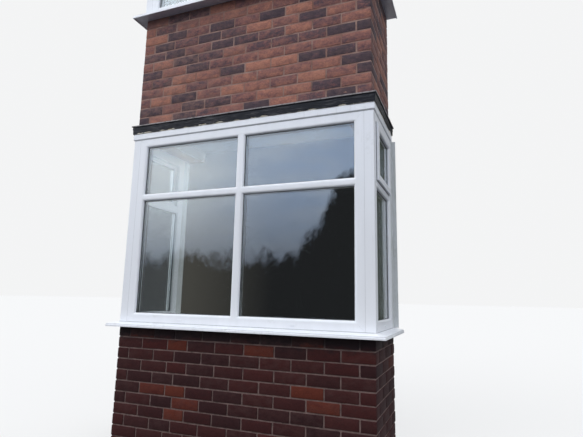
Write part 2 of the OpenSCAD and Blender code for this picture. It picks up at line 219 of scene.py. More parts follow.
class Graph:
    """Adds nodes to a node tree in short calls."""

    def __init__(self, tree: bpy.types.NodeTree) -> None:
        """Start on an empty tree."""
        self.tree = tree
        tree.nodes.clear()

    def add(self, kind: str, inputs: dict[Any, Any] | None = None, **settings: Any) -> Value:
        """Add a node.

        Args:
            kind: the node's type name.
            inputs: plain values or other nodes' outputs, by input name or number.
            **settings: attributes set on the node before its inputs.

        Returns:
            The node's first output.
        """
        node = self.tree.nodes.new(kind)
        for name, value in settings.items():
            setattr(node, name, value)
        for key, value in (inputs or {}).items():
            socket = node.inputs[key]
            if isinstance(value, Value):
                self.tree.links.new(value.node.outputs[value.key], socket)
            elif socket.type == "RGBA":
                socket.default_value = (*value, 1.0)
            else:
                socket.default_value = value
        return Value(self, node)

    def place(self) -> Value:
        """The Object coordinates."""
        return self.add("ShaderNodeTexCoord")["Object"]

    def axis(self, vector: Value, number: int) -> Value:
        """One part of a vector: 0 is x, 1 is y, 2 is z."""
        return self.add("ShaderNodeSeparateXYZ", {0: vector})[number]

    def mix(self, share: Any, first: Any, second: Any, blend: str = "MIX") -> Value:
        """Mix two colours."""
        inputs = {0: share, 6: first, 7: second}
        return self.add("ShaderNodeMix", inputs, data_type="RGBA", blend_type=blend)[2]

    def span(self, value: Value, low: Any, high: Any, to_low: float = 0.0, to_high: float = 1.0) -> Value:
        """Map a value from one range to another, held inside it."""
        inputs = {"Value": value, "From Min": low, "From Max": high, "To Min": to_low, "To Max": to_high}
        return self.add("ShaderNodeMapRange", inputs)

    def noise(self, vector: Value, scale: Any, detail: float = 3.0, rough: float = 0.55) -> Value:
        """Add 3D noise, 0 to 1 around a half."""
        inputs = {"Vector": vector, "Scale": scale, "Detail": detail, "Roughness": rough}
        return self.add("ShaderNodeTexNoise", inputs)

    def ramp(self, value: Value, stops: Sequence[tuple[float, Colour]]) -> Value:
        """Add a colour ramp.

        Args:
            value: what drives it.
            stops: places and colours.

        Returns:
            Its colour.
        """
        colour = self.add("ShaderNodeValToRGB", {0: value})
        elements = colour.node.color_ramp.elements
        while len(elements) < len(stops):
            elements.new(0.5)
        for element, (place, shade) in zip(elements, stops):
            element.position = place
            element.color = (*shade, 1.0)
        return colour

    def stretched(self, vector: Value, scale: Point) -> Value:
        """Scale a vector by axis."""
        return self.add("ShaderNodeMapping", {"Vector": vector, "Scale": scale})

    def attribute(self, name: str) -> Value:
        """Read a mesh attribute's value."""
        return self.add("ShaderNodeAttribute", None, attribute_name=name)["Fac"]

    def bump(self, height: Value, distance: float, strength: float = 1.0) -> Value:
        """Turn a height into a normal."""
        return self.add("ShaderNodeBump", {"Height": height, "Distance": distance, "Strength": strength})

    def effect(self, name: str, place: Value, **sizes: float) -> Value:
        """Place a shared group of this name with its sizes."""
        return self.add("ShaderNodeGroup", {"Position": place, **sizes}, node_tree=getattr(effects(), name))


class SharedEffects:
    """Shader node groups that several finishes use. They put out masks and heights only."""

    def __init__(self) -> None:
        """Build the groups once."""
        self.grime = self._grime()
        self.streaks = self._streaks()
        self.grit = self._grit()
        self.grain = self._grain()

    @staticmethod
    def _start(name: str, sizes: dict[str, float], outputs: Sequence[str]) -> tuple[Graph, Value]:
        """Start a shader group.

        Args:
            name: the group's name.
            sizes: its number inputs and their defaults.
            outputs: names of its number outputs.

        Returns:
            A graph on the new group, and its input node, which has the Position too.
        """
        tree = bpy.data.node_groups.new(name, "ShaderNodeTree")
        face = tree.interface
        face.new_socket(name="Position", in_out="INPUT", socket_type="NodeSocketVector")
        for label, size in sizes.items():
            face.new_socket(name=label, in_out="INPUT", socket_type="NodeSocketFloat").default_value = size
        for label in outputs:
            face.new_socket(name=label, in_out="OUTPUT", socket_type="NodeSocketFloat")
        graph = Graph(tree)
        return graph, graph.add("NodeGroupInput")

    def _grime(self) -> bpy.types.NodeTree:
        """Patchy dirt in two sizes, as a mask.

        Returns:
            The group.
        """
        graph, start = self._start("patchy_grime", {"Size": 0.1, "Cover": 0.3}, ("Mask",))
        scale = 1.0 / start["Size"]
        wide = graph.noise(start["Position"], scale, 4.0, 0.6)
        fine = graph.noise(start["Position"], scale * 5.3, 3.0, 0.7)
        over = wide * 0.68 + fine * 0.32 - (0.78 - start["Cover"] * 0.56)
        graph.add("NodeGroupOutput", {"Mask": graph.span(over, -0.07, 0.13)})
        return graph.tree

    def _streaks(self) -> bpy.types.NodeTree:
        """Runs of rain and dirt down an upright face, as a mask.

        Returns:
            The group.
        """
        graph, start = self._start("rain_streaks", {"Width": 0.01, "Cover": 0.3}, ("Mask",))
        tall = graph.stretched(start["Position"], (1.0, 1.0, 0.045))
        runs = graph.noise(tall, 1.0 / start["Width"], 3.0, 0.65)
        broken = graph.noise(start["Position"], 9.0, 3.0, 0.6)
        over = runs * 0.72 + broken * 0.28 - (0.76 - start["Cover"] * 0.5)
        graph.add("NodeGroupOutput", {"Mask": graph.span(over, -0.05, 0.16)})
        return graph.tree

    def _grit(self) -> bpy.types.NodeTree:
        """Sandy or pitted surface, as a height.

        Returns:
            The group.
        """
        graph, start = self._start("gritty_surface", {"Size": 0.002, "Pits": 0.5}, ("Height",))
        scale = 1.0 / start["Size"]
        sand = graph.noise(start["Position"], scale, 4.0, 0.65)
        cells = graph.add("ShaderNodeTexVoronoi", {"Vector": start["Position"], "Scale": scale * 0.22})
        pits = (1.0 - graph.span(cells["Distance"], 0.05, 0.32)) * start["Pits"]
        graph.add("NodeGroupOutput", {"Height": sand - pits})
        return graph.tree

    def _grain(self) -> bpy.types.NodeTree:
        """Sawn softwood: rings drawn out along one axis, as a mask and a height.

        Returns:
            The group.
        """
        graph, start = self._start("softwood_grain", {"Ring": 0.006}, ("Mask", "Height"))
        place, scale = start["Position"], 1.0 / start["Ring"]
        bend = graph.noise(place, 2.2, 2.0, 0.5)
        rings = graph.noise(place, scale * 0.5, 2.0, 0.5)
        rings.node.inputs["Distortion"].default_value = 0.8
        mask = graph.span(rings * 0.8 + bend * 0.2, 0.36, 0.64)
        saw = graph.noise(place, scale * 1.9, 2.0, 0.7)
        graph.add("NodeGroupOutput", {"Mask": mask, "Height": mask * 0.4 + saw * 0.6})
        return graph.tree


@functools.cache
def effects() -> SharedEffects:
    """The shared groups, built when first asked for."""
    return SharedEffects()


# Finishes


@dataclass(frozen=True)
class Finish:
    """What every finish has: a name, its slot in the record and a way to build its shader."""

    name: str
    slot: Slot | None = None

    @functools.cached_property
    def material(self) -> bpy.types.Material:
        """Build the material when it is first asked for.

        Returns:
            The material, with its shader on the output.
        """
        material = bpy.data.materials.new(self.name)
        material.use_nodes = True
        graph = Graph(material.node_tree)
        graph.add("ShaderNodeOutputMaterial", {"Surface": self.shader(graph)})
        return material

    def shader(self, graph: Graph) -> Value:
        """Add the Principled shader with this finish's inputs."""
        return graph.add("ShaderNodeBsdfPrincipled", self.inputs(graph, graph.place()))

    def inputs(self, graph: Graph, place: Value) -> dict[str, Any]:
        """Work out the Principled shader's inputs; each finish has its own way."""
        raise NotImplementedError(self.name)


@dataclass(frozen=True)
class PlasticFinish(Finish):
    """Smooth extruded plastic that has stood in the rain."""

    colour: Colour = (0.80, 0.825, 0.88)
    dirt: Colour = (0.34, 0.35, 0.33)
    cover: float = 0.18
    streak: float = 0.2
    dirt_share: float = 0.35
    roughness: float = 0.3

    def inputs(self, graph: Graph, place: Value) -> dict[str, Any]:
        """Lay patches and runs of dirt over a nearly even white.

        Args:
            graph: where the nodes go.
            place: the Object coordinates.

        Returns:
            The Principled shader's inputs.
        """
        patches = graph.effect("grime", place, Size=0.16, Cover=self.cover)
        soiled = patches.most(graph.effect("streaks", place, Width=0.012, Cover=self.streak))
        tone = graph.noise(graph.stretched(place, (1.0, 1.0, 0.12)), 14.0, 2.0)
        body = graph.mix(graph.span(tone, 0.3, 0.7), self.colour, tuple(c * 0.955 for c in self.colour))
        return {
            "Base Color": graph.mix(soiled * self.dirt_share, body, self.dirt),
            "Roughness": soiled * 0.25 + self.roughness,
            "Normal": graph.bump(graph.noise(place, 190.0, 2.0), 0.00025, 0.5),
            "IOR": 1.5,
        }


@dataclass(frozen=True)
class BrickFinish(Finish):
    """Fired brick whose tone changes from brick to brick and inside each brick."""

    stops: tuple[tuple[float, Colour], ...] = ()
    smear: Colour = (0.21, 0.13, 0.115)
    patch: float = 0.3
    fleck: float = 0.2
    # Colour of the dark grime patches, also used for the painted shade under the sill and on the returns.
    soot: Colour = (0.03, 0.022, 0.024)
    soot_cover: float = 0.3
    soot_share: float = 0.4
    # Height from which the bricks darken as painted shade under the sill.
    damp_from: float = 50.0
    # How far faces turned to the sides darken: painted shade on the returns, with some grime.
    cheek: float = 0.42
    pit: float = 0.0011

    def inputs(self, graph: Graph, place: Value) -> dict[str, Any]:
        """Shift each brick's own tone by clouds and flecks, then lay dark grime patches, painted shade under
        the sill and on the returns, and lime on it.

        Args:
            graph: where the nodes go.
            place: the Object coordinates.

        Returns:
            The Principled shader's inputs.
        """
        flat = graph.stretched(place, (1.0, 1.0, 1.7))
        clouds = graph.noise(flat, 13.0, 3.0, 0.6) - 0.5
        flecks = graph.noise(flat, 58.0, 3.0, 0.65) - 0.5
        shift = clouds * (self.patch * 2.6) + flecks * (self.fleck * 2.6)
        fired = graph.ramp(graph.attribute("tone") + shift, self.stops)
        mottle = graph.span(graph.noise(place, 150.0, 4.0, 0.7), 0.3, 0.72, 0.8, 1.2)
        speck = graph.add("ShaderNodeCombineColor", {0: mottle, 1: mottle, 2: mottle})
        body = graph.mix(1.0, fired, speck, "MULTIPLY")
        dark = graph.effect("grime", flat, Size=0.08, Cover=self.soot_cover)
        # Painted shade under the sill: the bricks darken from the given height upwards.
        height = graph.axis(place, 2) + clouds * 0.16
        sill_shade = graph.span(height, self.damp_from, self.damp_from + 0.05, 0.0, 0.85)
        # Faces turned to the sides darken: painted shade on the returns, with some grime.
        facing = graph.add("ShaderNodeTexCoord")["Normal"]
        cheek = graph.span(abs(graph.axis(facing, 0)), 0.5, 0.8, 0.0, self.cheek)
        # Dark grime patches and the painted shade under the sill and on the returns share one dark colour.
        sooty_and_shaded = graph.mix((dark * self.soot_share).most(sill_shade).most(cheek), body, self.soot)
        lime = graph.effect("grime", flat, Size=0.055, Cover=0.55) * graph.attribute("smear")
        return {
            "Base Color": graph.mix(lime, sooty_and_shaded, self.smear),
            "Roughness": graph.span(mottle, 0.7, 1.3, 0.94, 0.82),
            "Specular IOR Level": 0.16,
            "Normal": graph.bump(graph.effect("grit", place, Size=0.0035, Pits=0.8), self.pit),
        }


@dataclass(frozen=True)
class MineralFinish(Finish):
    """Mortar, plaster, concrete and slate: a rough mineral body with stains."""

    colour: Colour = (0.3, 0.3, 0.3)
    other: Colour = (0.2, 0.2, 0.2)
    # Colour of the dark spots, also used for painted shade under the sill.
    stain: Colour = (0.1, 0.1, 0.1)
    patch_size: float = 0.12
    stain_cover: float = 0.3
    stain_share: float = 0.5
    grit_size: float = 0.003
    grit_depth: float = 0.001
    pits: float = 0.3
    roughness: float = 0.92
    shine: float = 0.2
    toned: bool = False
    # Height from which the body darkens as painted shade under the sill; the default lies above everything.
    damp_from: float = 50.0

    def inputs(self, graph: Graph, place: Value) -> dict[str, Any]:
        """Mix two tones in patches, then spot them with a darker colour and darken them as painted shade
        under the sill, from the given height up.

        Args:
            graph: where the nodes go.
            place: the Object coordinates.

        Returns:
            The Principled shader's inputs.
        """
        patch = graph.span(graph.noise(place, 0.9 / self.patch_size, 4.0, 0.6), 0.32, 0.68)
        if self.toned:
            patch = patch * 0.45 + graph.attribute("tone") * 0.55
        body = graph.mix(patch, self.colour, self.other)
        spots = graph.effect("grime", place, Size=self.patch_size * 0.6, Cover=self.stain_cover)
        # Painted shade under the sill, from the given height up.
        sill_shade = graph.span(graph.axis(place, 2), self.damp_from, self.damp_from + 0.04, 0.0, 0.9)
        grit = graph.effect("grit", place, Size=self.grit_size, Pits=self.pits)
        return {
            "Base Color": graph.mix((spots * self.stain_share).most(sill_shade), body, self.stain),
            "Roughness": graph.span(patch, 0.0, 1.0, self.roughness, self.roughness - 0.08),
            "Specular IOR Level": self.shine,
            "Normal": graph.bump(grit, self.grit_depth),
        }


@dataclass(frozen=True)
class TimberFinish(Finish):
    """Sawn softwood with its grain along one axis."""

    stretch: Point = (1.0, 0.05, 1.0)
    pale: Colour = (0.47, 0.31, 0.17)
    dark: Colour = (0.25, 0.135, 0.062)
    dust: Colour = (0.16, 0.12, 0.085)
    toned: bool = False

    def inputs(self, graph: Graph, place: Value) -> dict[str, Any]:
        """Draw the grain along the timber and dust it.

        Args:
            graph: where the nodes go.
            place: the Object coordinates.

        Returns:
            The Principled shader's inputs.
        """
        grain = graph.effect("grain", graph.stretched(place, self.stretch), Ring=0.009)
        body = graph.mix(grain["Mask"], self.pale, self.dark)
        if self.toned:
            body = graph.mix(graph.attribute("tone") * 0.45, body, tuple(c * 0.6 for c in self.pale))
        dusty = graph.effect("grime", place, Size=0.2, Cover=0.35)
        return {
            "Base Color": graph.mix(dusty * 0.4, body, self.dust),
            "Roughness": graph.span(grain["Mask"], 0.0, 1.0, 0.72, 0.84),
            "Normal": graph.bump(grain["Height"], 0.0011),
        }


@dataclass(frozen=True)
class MetalFinish(Finish):
    """Dull sheet metal with a pale bloom, such as weathered lead or bare aluminium."""

    colour: Colour = (0.2, 0.21, 0.23)
    bloom: Colour = (0.42, 0.43, 0.44)
    bloom_cover: float = 0.4
    metallic: float = 0.35
    roughness: float = 0.55

    def inputs(self, graph: Graph, place: Value) -> dict[str, Any]:
        """Lay the bloom in patches and runs over the metal.

        Args:
            graph: where the nodes go.
            place: the Object coordinates.

        Returns:
            The Principled shader's inputs.
        """
        patches = graph.effect("grime", place, Size=0.11, Cover=self.bloom_cover)
        pale = patches.most(graph.effect("streaks", place, Width=0.02, Cover=0.35) * 0.7)
        return {
            "Base Color": graph.mix(pale * 0.75, self.colour, self.bloom),
            "Roughness": pale * 0.2 + self.roughness,
            "Metallic": self.metallic,
            "Normal": graph.bump(graph.noise(place, 24.0, 3.0), 0.004, 0.6),
        }


@dataclass(frozen=True)
class SheetFinish(Finish):
    """Black plastic or rubber: matt, dusty and creased."""

    colour: Colour = (0.012, 0.012, 0.014)
    dust: Colour = (0.12, 0.12, 0.125)
    dust_cover: float = 0.35
    dust_share: float = 0.5
    crease: float = 0.0004
    roughness: float = 0.55

    def inputs(self, graph: Graph, place: Value) -> dict[str, Any]:
        """Dust the black body in patches.

        Args:
            graph: where the nodes go.
            place: the Object coordinates.

        Returns:
            The Principled shader's inputs.
        """
        dusty = graph.effect("grime", place, Size=0.05, Cover=self.dust_cover)
        runs = graph.noise(graph.stretched(place, (1.0, 1.0, 5.0)), 30.0, 4.0, 0.65)
        return {
            "Base Color": graph.mix(dusty * self.dust_share, self.colour, self.dust),
            "Roughness": dusty * 0.3 + self.roughness,
            "Normal": graph.bump(runs, self.crease),
        }


@dataclass(frozen=True)
class FlashingFinish(Finish):
    """Old black sheet, streaked along its length, with a painted highlight along its lip at the top."""

    colour: Colour = (0.009, 0.009, 0.012)
    streak: Colour = (0.12, 0.12, 0.125)
    # Pale colour of the lip: a painted highlight where its edge catches the light.
    lip: Colour = (0.30, 0.285, 0.295)
    lip_from: float = 2.5873
    lip_to: float = 2.5883

    def inputs(self, graph: Graph, place: Value) -> dict[str, Any]:
        """Streak and dust the sheet, and paint a highlight along its lip, broken up in chips.

        Args:
            graph: where the nodes go.
            place: the Object coordinates.

        Returns:
            The Principled shader's inputs.
        """
        drawn = graph.noise(graph.stretched(place, (1.0, 1.0, 16.0)), 9.0, 4.0, 0.65)
        edge = graph.span(graph.noise(place, 3.2, 2.0), 0.35, 0.65, 0.57, 0.47)
        streaks = graph.span(drawn - edge, 0.0, 0.12)
        body = graph.mix(streaks * 0.55, self.colour, self.streak)
        dull = graph.mix(graph.effect("grime", place, Size=0.05, Cover=0.3) * 0.16, body, self.streak)
        # Painted highlight along the lip, broken up by noise.
        lip_highlight_band = graph.span(graph.axis(place, 2), self.lip_from, self.lip_to)
        broken_lip_highlight = lip_highlight_band * graph.span(graph.noise(place, 40.0, 3.0), 0.3, 0.5, 0.35, 1.0)
        return {
            "Base Color": graph.mix(broken_lip_highlight, dull, self.lip),
            "Roughness": broken_lip_highlight * 0.25 + 0.52,
            "Specular IOR Level": 0.18,
            "Normal": graph.bump(drawn, 0.004),
        }


@dataclass(frozen=True)
class GlassFinish(Finish):
    """Clear float glass, faintly grey-green, with a little dust."""

    tint: Colour = (0.93, 0.96, 0.955)

    def inputs(self, graph: Graph, place: Value) -> dict[str, Any]:
        """Haze the glass a little and give it a slight wave.

        Args:
            graph: where the nodes go.
            place: the Object coordinates.

        Returns:
            The Principled shader's inputs.
        """
        return {
            "Base Color": self.tint,
            "Roughness": graph.span(graph.noise(place, 7.0, 4.0, 0.6), 0.35, 0.8, 0.0, 0.035),
            "Transmission Weight": 1.0,
            "IOR": 1.52,
            "Normal": graph.bump(graph.noise(place, 2.6, 1.0), 0.002, 0.35),
        }


@dataclass(frozen=True)
class Palette:
    """Every finish of the bay."""

    # The base's brick tones are darker than the brick's own colour: partly painted shade near the ground.
    base_brick: Finish = BrickFinish(
        "dark_red_brick", Slot.BASE_BRICK,
        stops=(
            (0.0, (0.017, 0.0072, 0.0085)), (0.3, (0.029, 0.0098, 0.0105)), (0.62, (0.047, 0.0125, 0.0120)),
            (0.88, (0.066, 0.0155, 0.0130)), (1.0, (0.092, 0.0222, 0.0140)),
        ),
        smear=(0.088, 0.052, 0.049), patch=0.12, fleck=0.12, soot=(0.010, 0.008, 0.010),
        # Painted shade under the sill from this height up.
        damp_from=0.80,
    )
    spandrel_brick: Finish = BrickFinish(
        "mixed_orange_brick", Slot.SPANDREL_BRICK,
        stops=(
            (0.0, (0.060, 0.046, 0.058)), (0.2, (0.088, 0.060, 0.074)), (0.38, (0.155, 0.080, 0.084)),
            (0.6, (0.24, 0.112, 0.10)), (0.84, (0.32, 0.145, 0.112)), (1.0, (0.40, 0.18, 0.13)),
        ),
        patch=0.5, fleck=0.36,
    )
    # The base mortar's tones are darkened the same way, partly painted shade, and it too has painted shade
    # under the sill.
    base_mortar: Finish = MineralFinish(
        "base_mortar", Slot.BASE_BRICK,
        colour=(0.20, 0.137, 0.127), other=(0.105, 0.072, 0.067), stain=(0.024, 0.019, 0.021),
        patch_size=0.05, stain_cover=0.36, stain_share=0.6, grit_size=0.004, grit_depth=0.002, damp_from=0.81,
    )
    spandrel_mortar: Finish = MineralFinish(
        "spandrel_mortar", Slot.SPANDREL_BRICK,
        colour=(0.34, 0.235, 0.205), other=(0.20, 0.10, 0.082), stain=(0.08, 0.05, 0.048),
        patch_size=0.2, stain_cover=0.4, stain_share=0.65, grit_size=0.004, grit_depth=0.002,
    )
    frame: Finish = PlasticFinish("white_frame_plastic", Slot.FRAME)
    sill: Finish = PlasticFinish("white_sill_plastic", Slot.SILL, cover=0.3, streak=0.32, dirt_share=0.42)
    trim: Finish = PlasticFinish("white_trim_plastic", Slot.TRIM, cover=0.22, streak=0.28)
    weathered: Finish = PlasticFinish(
        "weathered_strip_plastic", Slot.WEATHERED,
        colour=(0.62, 0.645, 0.66), dirt=(0.24, 0.26, 0.20),
        cover=0.3, streak=0.42, dirt_share=0.5, roughness=0.42,
    )
    board: Finish = PlasticFinish(
        "window_board_plastic", Slot.BOARD,
        colour=(0.78, 0.78, 0.75), cover=0.12, streak=0.05, dirt_share=0.2,
    )
    glass: Finish = GlassFinish("sealed_unit_glass", Slot.GLASS)
    spacer: Finish = MetalFinish(
        "spacer_aluminium", Slot.GLASS,
        colour=(0.5, 0.51, 0.52), bloom=(0.62, 0.63, 0.64), metallic=0.8, roughness=0.38,
    )
    gasket: Finish = SheetFinish("black_gasket_rubber", Slot.FLASHING, dust_share=0.3)
    flashing: Finish = FlashingFinish("black_flashing_sheet", Slot.FLASHING)
    gutter: Finish = SheetFinish("black_gutter_plastic", Slot.GUTTER, roughness=0.4, dust_share=0.4)
    mastic: Finish = MineralFinish(
        "cream_mastic", Slot.FLASHING,
        colour=(0.8, 0.76, 0.66), other=(0.62, 0.57, 0.46), stain=(0.2, 0.18, 0.15),
        patch_size=0.03, grit_size=0.004, grit_depth=0.0012, pits=0.4, roughness=0.7,
    )
    sealant: Finish = MineralFinish(
        "grey_sealant", Slot.FRAME,
        colour=(0.42, 0.43, 0.46), other=(0.3, 0.31, 0.33),
        patch_size=0.05, grit_depth=0.0003, pits=0.0, roughness=0.5,
    )
    plaster: Finish = MineralFinish(
        "painted_plaster", Slot.PLASTER,
        colour=(0.62, 0.56, 0.46), other=(0.55, 0.49, 0.40), stain=(0.36, 0.31, 0.25),
        patch_size=0.4, stain_cover=0.2, stain_share=0.4, grit_size=0.006, grit_depth=0.0007,
        pits=0.1, roughness=0.9,
    )
    # The ceiling's white is darkened: painted shade of the unlit room seen through the glass.
    ceiling: Finish = MineralFinish(
        "white_ceiling", Slot.PLASTER,
        colour=(0.46, 0.455, 0.435), other=(0.41, 0.405, 0.385), stain=(0.3, 0.28, 0.24),
        patch_size=0.4, stain_cover=0.16, stain_share=0.4, grit_size=0.006, grit_depth=0.0006,
        pits=0.1, roughness=0.9,
    )
    concrete: Finish = MineralFinish(
        "screeded_concrete", Slot.CONCRETE,
        colour=(0.36, 0.34, 0.31), other=(0.26, 0.25, 0.23), stain=(0.13, 0.12, 0.11),
        patch_size=0.25, grit_size=0.004, grit_depth=0.0013, pits=0.6,
    )
    slate: Finish = MineralFinish(
        "split_slate", Slot.SLATE,
        colour=(0.052, 0.058, 0.075), other=(0.085, 0.09, 0.105), stain=(0.13, 0.14, 0.10),
        patch_size=0.09, stain_cover=0.26, stain_share=0.55, grit_size=0.012, grit_depth=0.0022,
        pits=0.15, roughness=0.66, toned=True,
    )
    joists: Finish = TimberFinish("joist_softwood", Slot.TIMBER)
    boards: Finish = TimberFinish("board_softwood", Slot.TIMBER, stretch=(0.05, 1.0, 1.0), toned=True)
    rafters: Finish = TimberFinish("rafter_softwood", Slot.TIMBER, stretch=(1.0, 0.07, 0.55))
    lead: Finish = MetalFinish("weathered_lead", Slot.LEAD)


# Meshes


class Maker:
    """Collects closed solids in one mesh and makes a piece of them."""

    def __init__(self, name: str) -> None:
        """Start an empty mesh."""
        self.name = name
        self.mesh = bmesh.new()

    def box(self, low: Sequence[float], high: Sequence[float]) -> None:
        """Add a box.

        Args:
            low: its lowest corner.
            high: its highest corner.
        """
        corners = [(x, y, z) for x in (low[0], high[0]) for y in (low[1], high[1]) for z in (low[2], high[2])]
        verts = [self.mesh.verts.new(c) for c in corners]
        for ids in ((0, 1, 3, 2), (4, 6, 7, 5), (0, 4, 5, 1), (2, 3, 7, 6), (0, 2, 6, 4), (1, 5, 7, 3)):
            self.mesh.faces.new([verts[i] for i in ids])

    def side_box(self, side: Side, low: Sequence[float], high: Sequence[float]) -> None:
        """Add a box given along, into and up one side of the bay."""
        first, second = side.spot(*low), side.spot(*high)
        self.box([min(a, b) for a, b in zip(first, second)], [max(a, b) for a, b in zip(first, second)])

    def loft(self, rings: Sequence[Sequence[Vector]], closed: bool = False) -> None:
        """Join rings of equal length into one closed solid.

        Args:
            rings: closed outlines, one after another.
            closed: whether the last ring joins the first; otherwise both ends are capped.
        """
        rows = [[self.mesh.verts.new(p) for p in ring] for ring in rings]
        count = len(rows[0])
        for here, there in list(zip(rows, rows[1:])) + ([(rows[-1], rows[0])] if closed else []):
            for i in range(count):
                j = (i + 1) % count
                self.mesh.faces.new((here[i], here[j], there[j], there[i]))
        if not closed:
            self.mesh.faces.new(rows[0][::-1])
            self.mesh.faces.new(rows[-1])

    def bevel(self, width: float, segments: int = 2) -> None:
        """Round every sharp edge.

        Args:
            width: how far the rounding reaches from the edge.
            segments: faces across it.
        """
        self.mesh.normal_update()
        edges = [e for e in self.mesh.edges if len(e.link_faces) == 2 and e.calc_face_angle(0.0) > SHARP_EDGE]
        bmesh.ops.bevel(
            self.mesh, geom=edges, offset=width, offset_type="OFFSET", segments=segments,
            profile=0.5, affect="EDGES", clamp_overlap=True,
        )

    def cut(self, point: Sequence[float], normal: Sequence[float]) -> None:
        """Cut everything off on one side of a plane, and close the cut.

        Args:
            point: a point of the plane.
            normal: points to the side that goes.
        """
        geometry = [*self.mesh.verts, *self.mesh.edges, *self.mesh.faces]
        result = bmesh.ops.bisect_plane(
            self.mesh, geom=geometry, dist=1e-6, plane_co=point, plane_no=normal, clear_outer=True,
        )
        edges = [e for e in result["geom_cut"] if isinstance(e, bmesh.types.BMEdge) and e.is_boundary]
        bmesh.ops.edgeloop_fill(self.mesh, edges=edges)

    def take(self, data: bpy.types.Mesh) -> None:
        """Add a finished mesh, which is then removed."""
        self.mesh.from_mesh(data)
        bpy.data.meshes.remove(data)

    def give(self) -> bpy.types.Mesh:
        """Turn what was collected into a mesh with its normals outward.

        Returns:
            The mesh, under the piece's name.
        """
        bmesh.ops.recalc_face_normals(self.mesh, faces=self.mesh.faces)
        data = bpy.data.meshes.new(self.name)
        self.mesh.to_mesh(data)
        self.mesh.free()
        return data

    def finish(self, smooth: float = 32.0, weighted: bool = False) -> bpy.types.Object:
        """Turn the mesh into an object at the origin, shaded as place_mesh says."""
        return place_mesh(self.name, self.give(), smooth, weighted)


def add_object(name: str, data: bpy.types.ID) -> bpy.types.Object:
    """Link an object at the origin.

    Args:
        name: the object's name.
        data: its mesh, lamp or camera.

    Returns:
        The object.
    """
    item = bpy.data.objects.new(name, data)
    bpy.context.scene.collection.objects.link(item)
    return item


def place_mesh(name: str, data: bpy.types.Mesh, smooth: float, weighted: bool = False) -> bpy.types.Object:
    """Link a mesh as an object at the origin and set its shading.

    Args:
        name: the object's name.
        data: its mesh.
        smooth: edges flatter than this angle in degrees are shaded smooth.
        weighted: whether flat faces keep flat shading next to small roundings.

    Returns:
        The object.
    """
    piece = add_object(name, data)
    data.shade_smooth()
    data.set_sharp_from_angle(angle=math.radians(smooth))
    if weighted:
        modifier = piece.modifiers.new("flat_faces", "WEIGHTED_NORMAL")
        modifier.keep_sharp = True
        modifier.weight = 60
    return piece


def paint(piece: bpy.types.Object, finish: Finish) -> None:
    """Give a piece or a CAD node its material.

    Args:
        piece: the object.
        finish: its finish.
    """
    piece.data.materials.clear()
    piece.data.materials.append(finish.material)
    log.info("%s: %d faces in %s", piece.name, len(piece.data.polygons), finish.name)


def hand_over(piece: bpy.types.Object, finish: Finish, nodes: Iterable[str] = ()) -> None:
    """Give a finished piece its body, finish and the nodes it stands for.

    Args:
        piece: the object.
        finish: its finish.
        nodes: CAD nodes it replaces.
    """
    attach(piece, "root")
    if nodes:
        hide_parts(*nodes)
    paint(piece, finish)


def node_copy(node: bpy.types.Object, name: str) -> Maker:
    """Start a piece from a clean copy of a CAD node's mesh.

    Args:
        node: the CAD node's object.
        name: the new piece's name.

    Returns:
        A maker that holds the merged copy with flat faces joined.
    """
    maker = Maker(name)
    mesh = maker.mesh
    mesh.from_mesh(node.data)
    bmesh.ops.remove_doubles(mesh, verts=mesh.verts, dist=1e-5)
    bmesh.ops.dissolve_limit(mesh, angle_limit=FLAT_FACE, verts=mesh.verts, edges=mesh.edges)
    bmesh.ops.recalc_face_normals(mesh, faces=mesh.faces)
    return maker


def store(data: bpy.types.Mesh, name: str, values: Sequence[Any]) -> None:
    """Store a number or a vector on each point of a mesh.

    Args:
        data: the mesh.
        name: the attribute's name.
        values: one for each point.
    """
    plain = isinstance(values[0], float)
    attribute = data.attributes.new(name, "FLOAT" if plain else "FLOAT_VECTOR", "POINT")
    for item, value in zip(attribute.data, values):
        setattr(item, "value" if plain else "vector", value)


@dataclass
class Paths:
    """Points joined into open and closed paths."""

    points: list[Point] = field(default_factory=list)
    edges: list[tuple[int, int]] = field(default_factory=list)

    def add(self, spots: Sequence[Vector], closed: bool = False) -> None:
        """Add one path.

        Args:
            spots: its points, in order.
            closed: whether the last joins the first.
        """
        first, count = len(self.points), len(spots)
        self.points += [tuple(p) for p in spots]
        self.edges += [(first + i, first + (i + 1) % count) for i in range(count if closed else count - 1)]


# Geometry Nodes


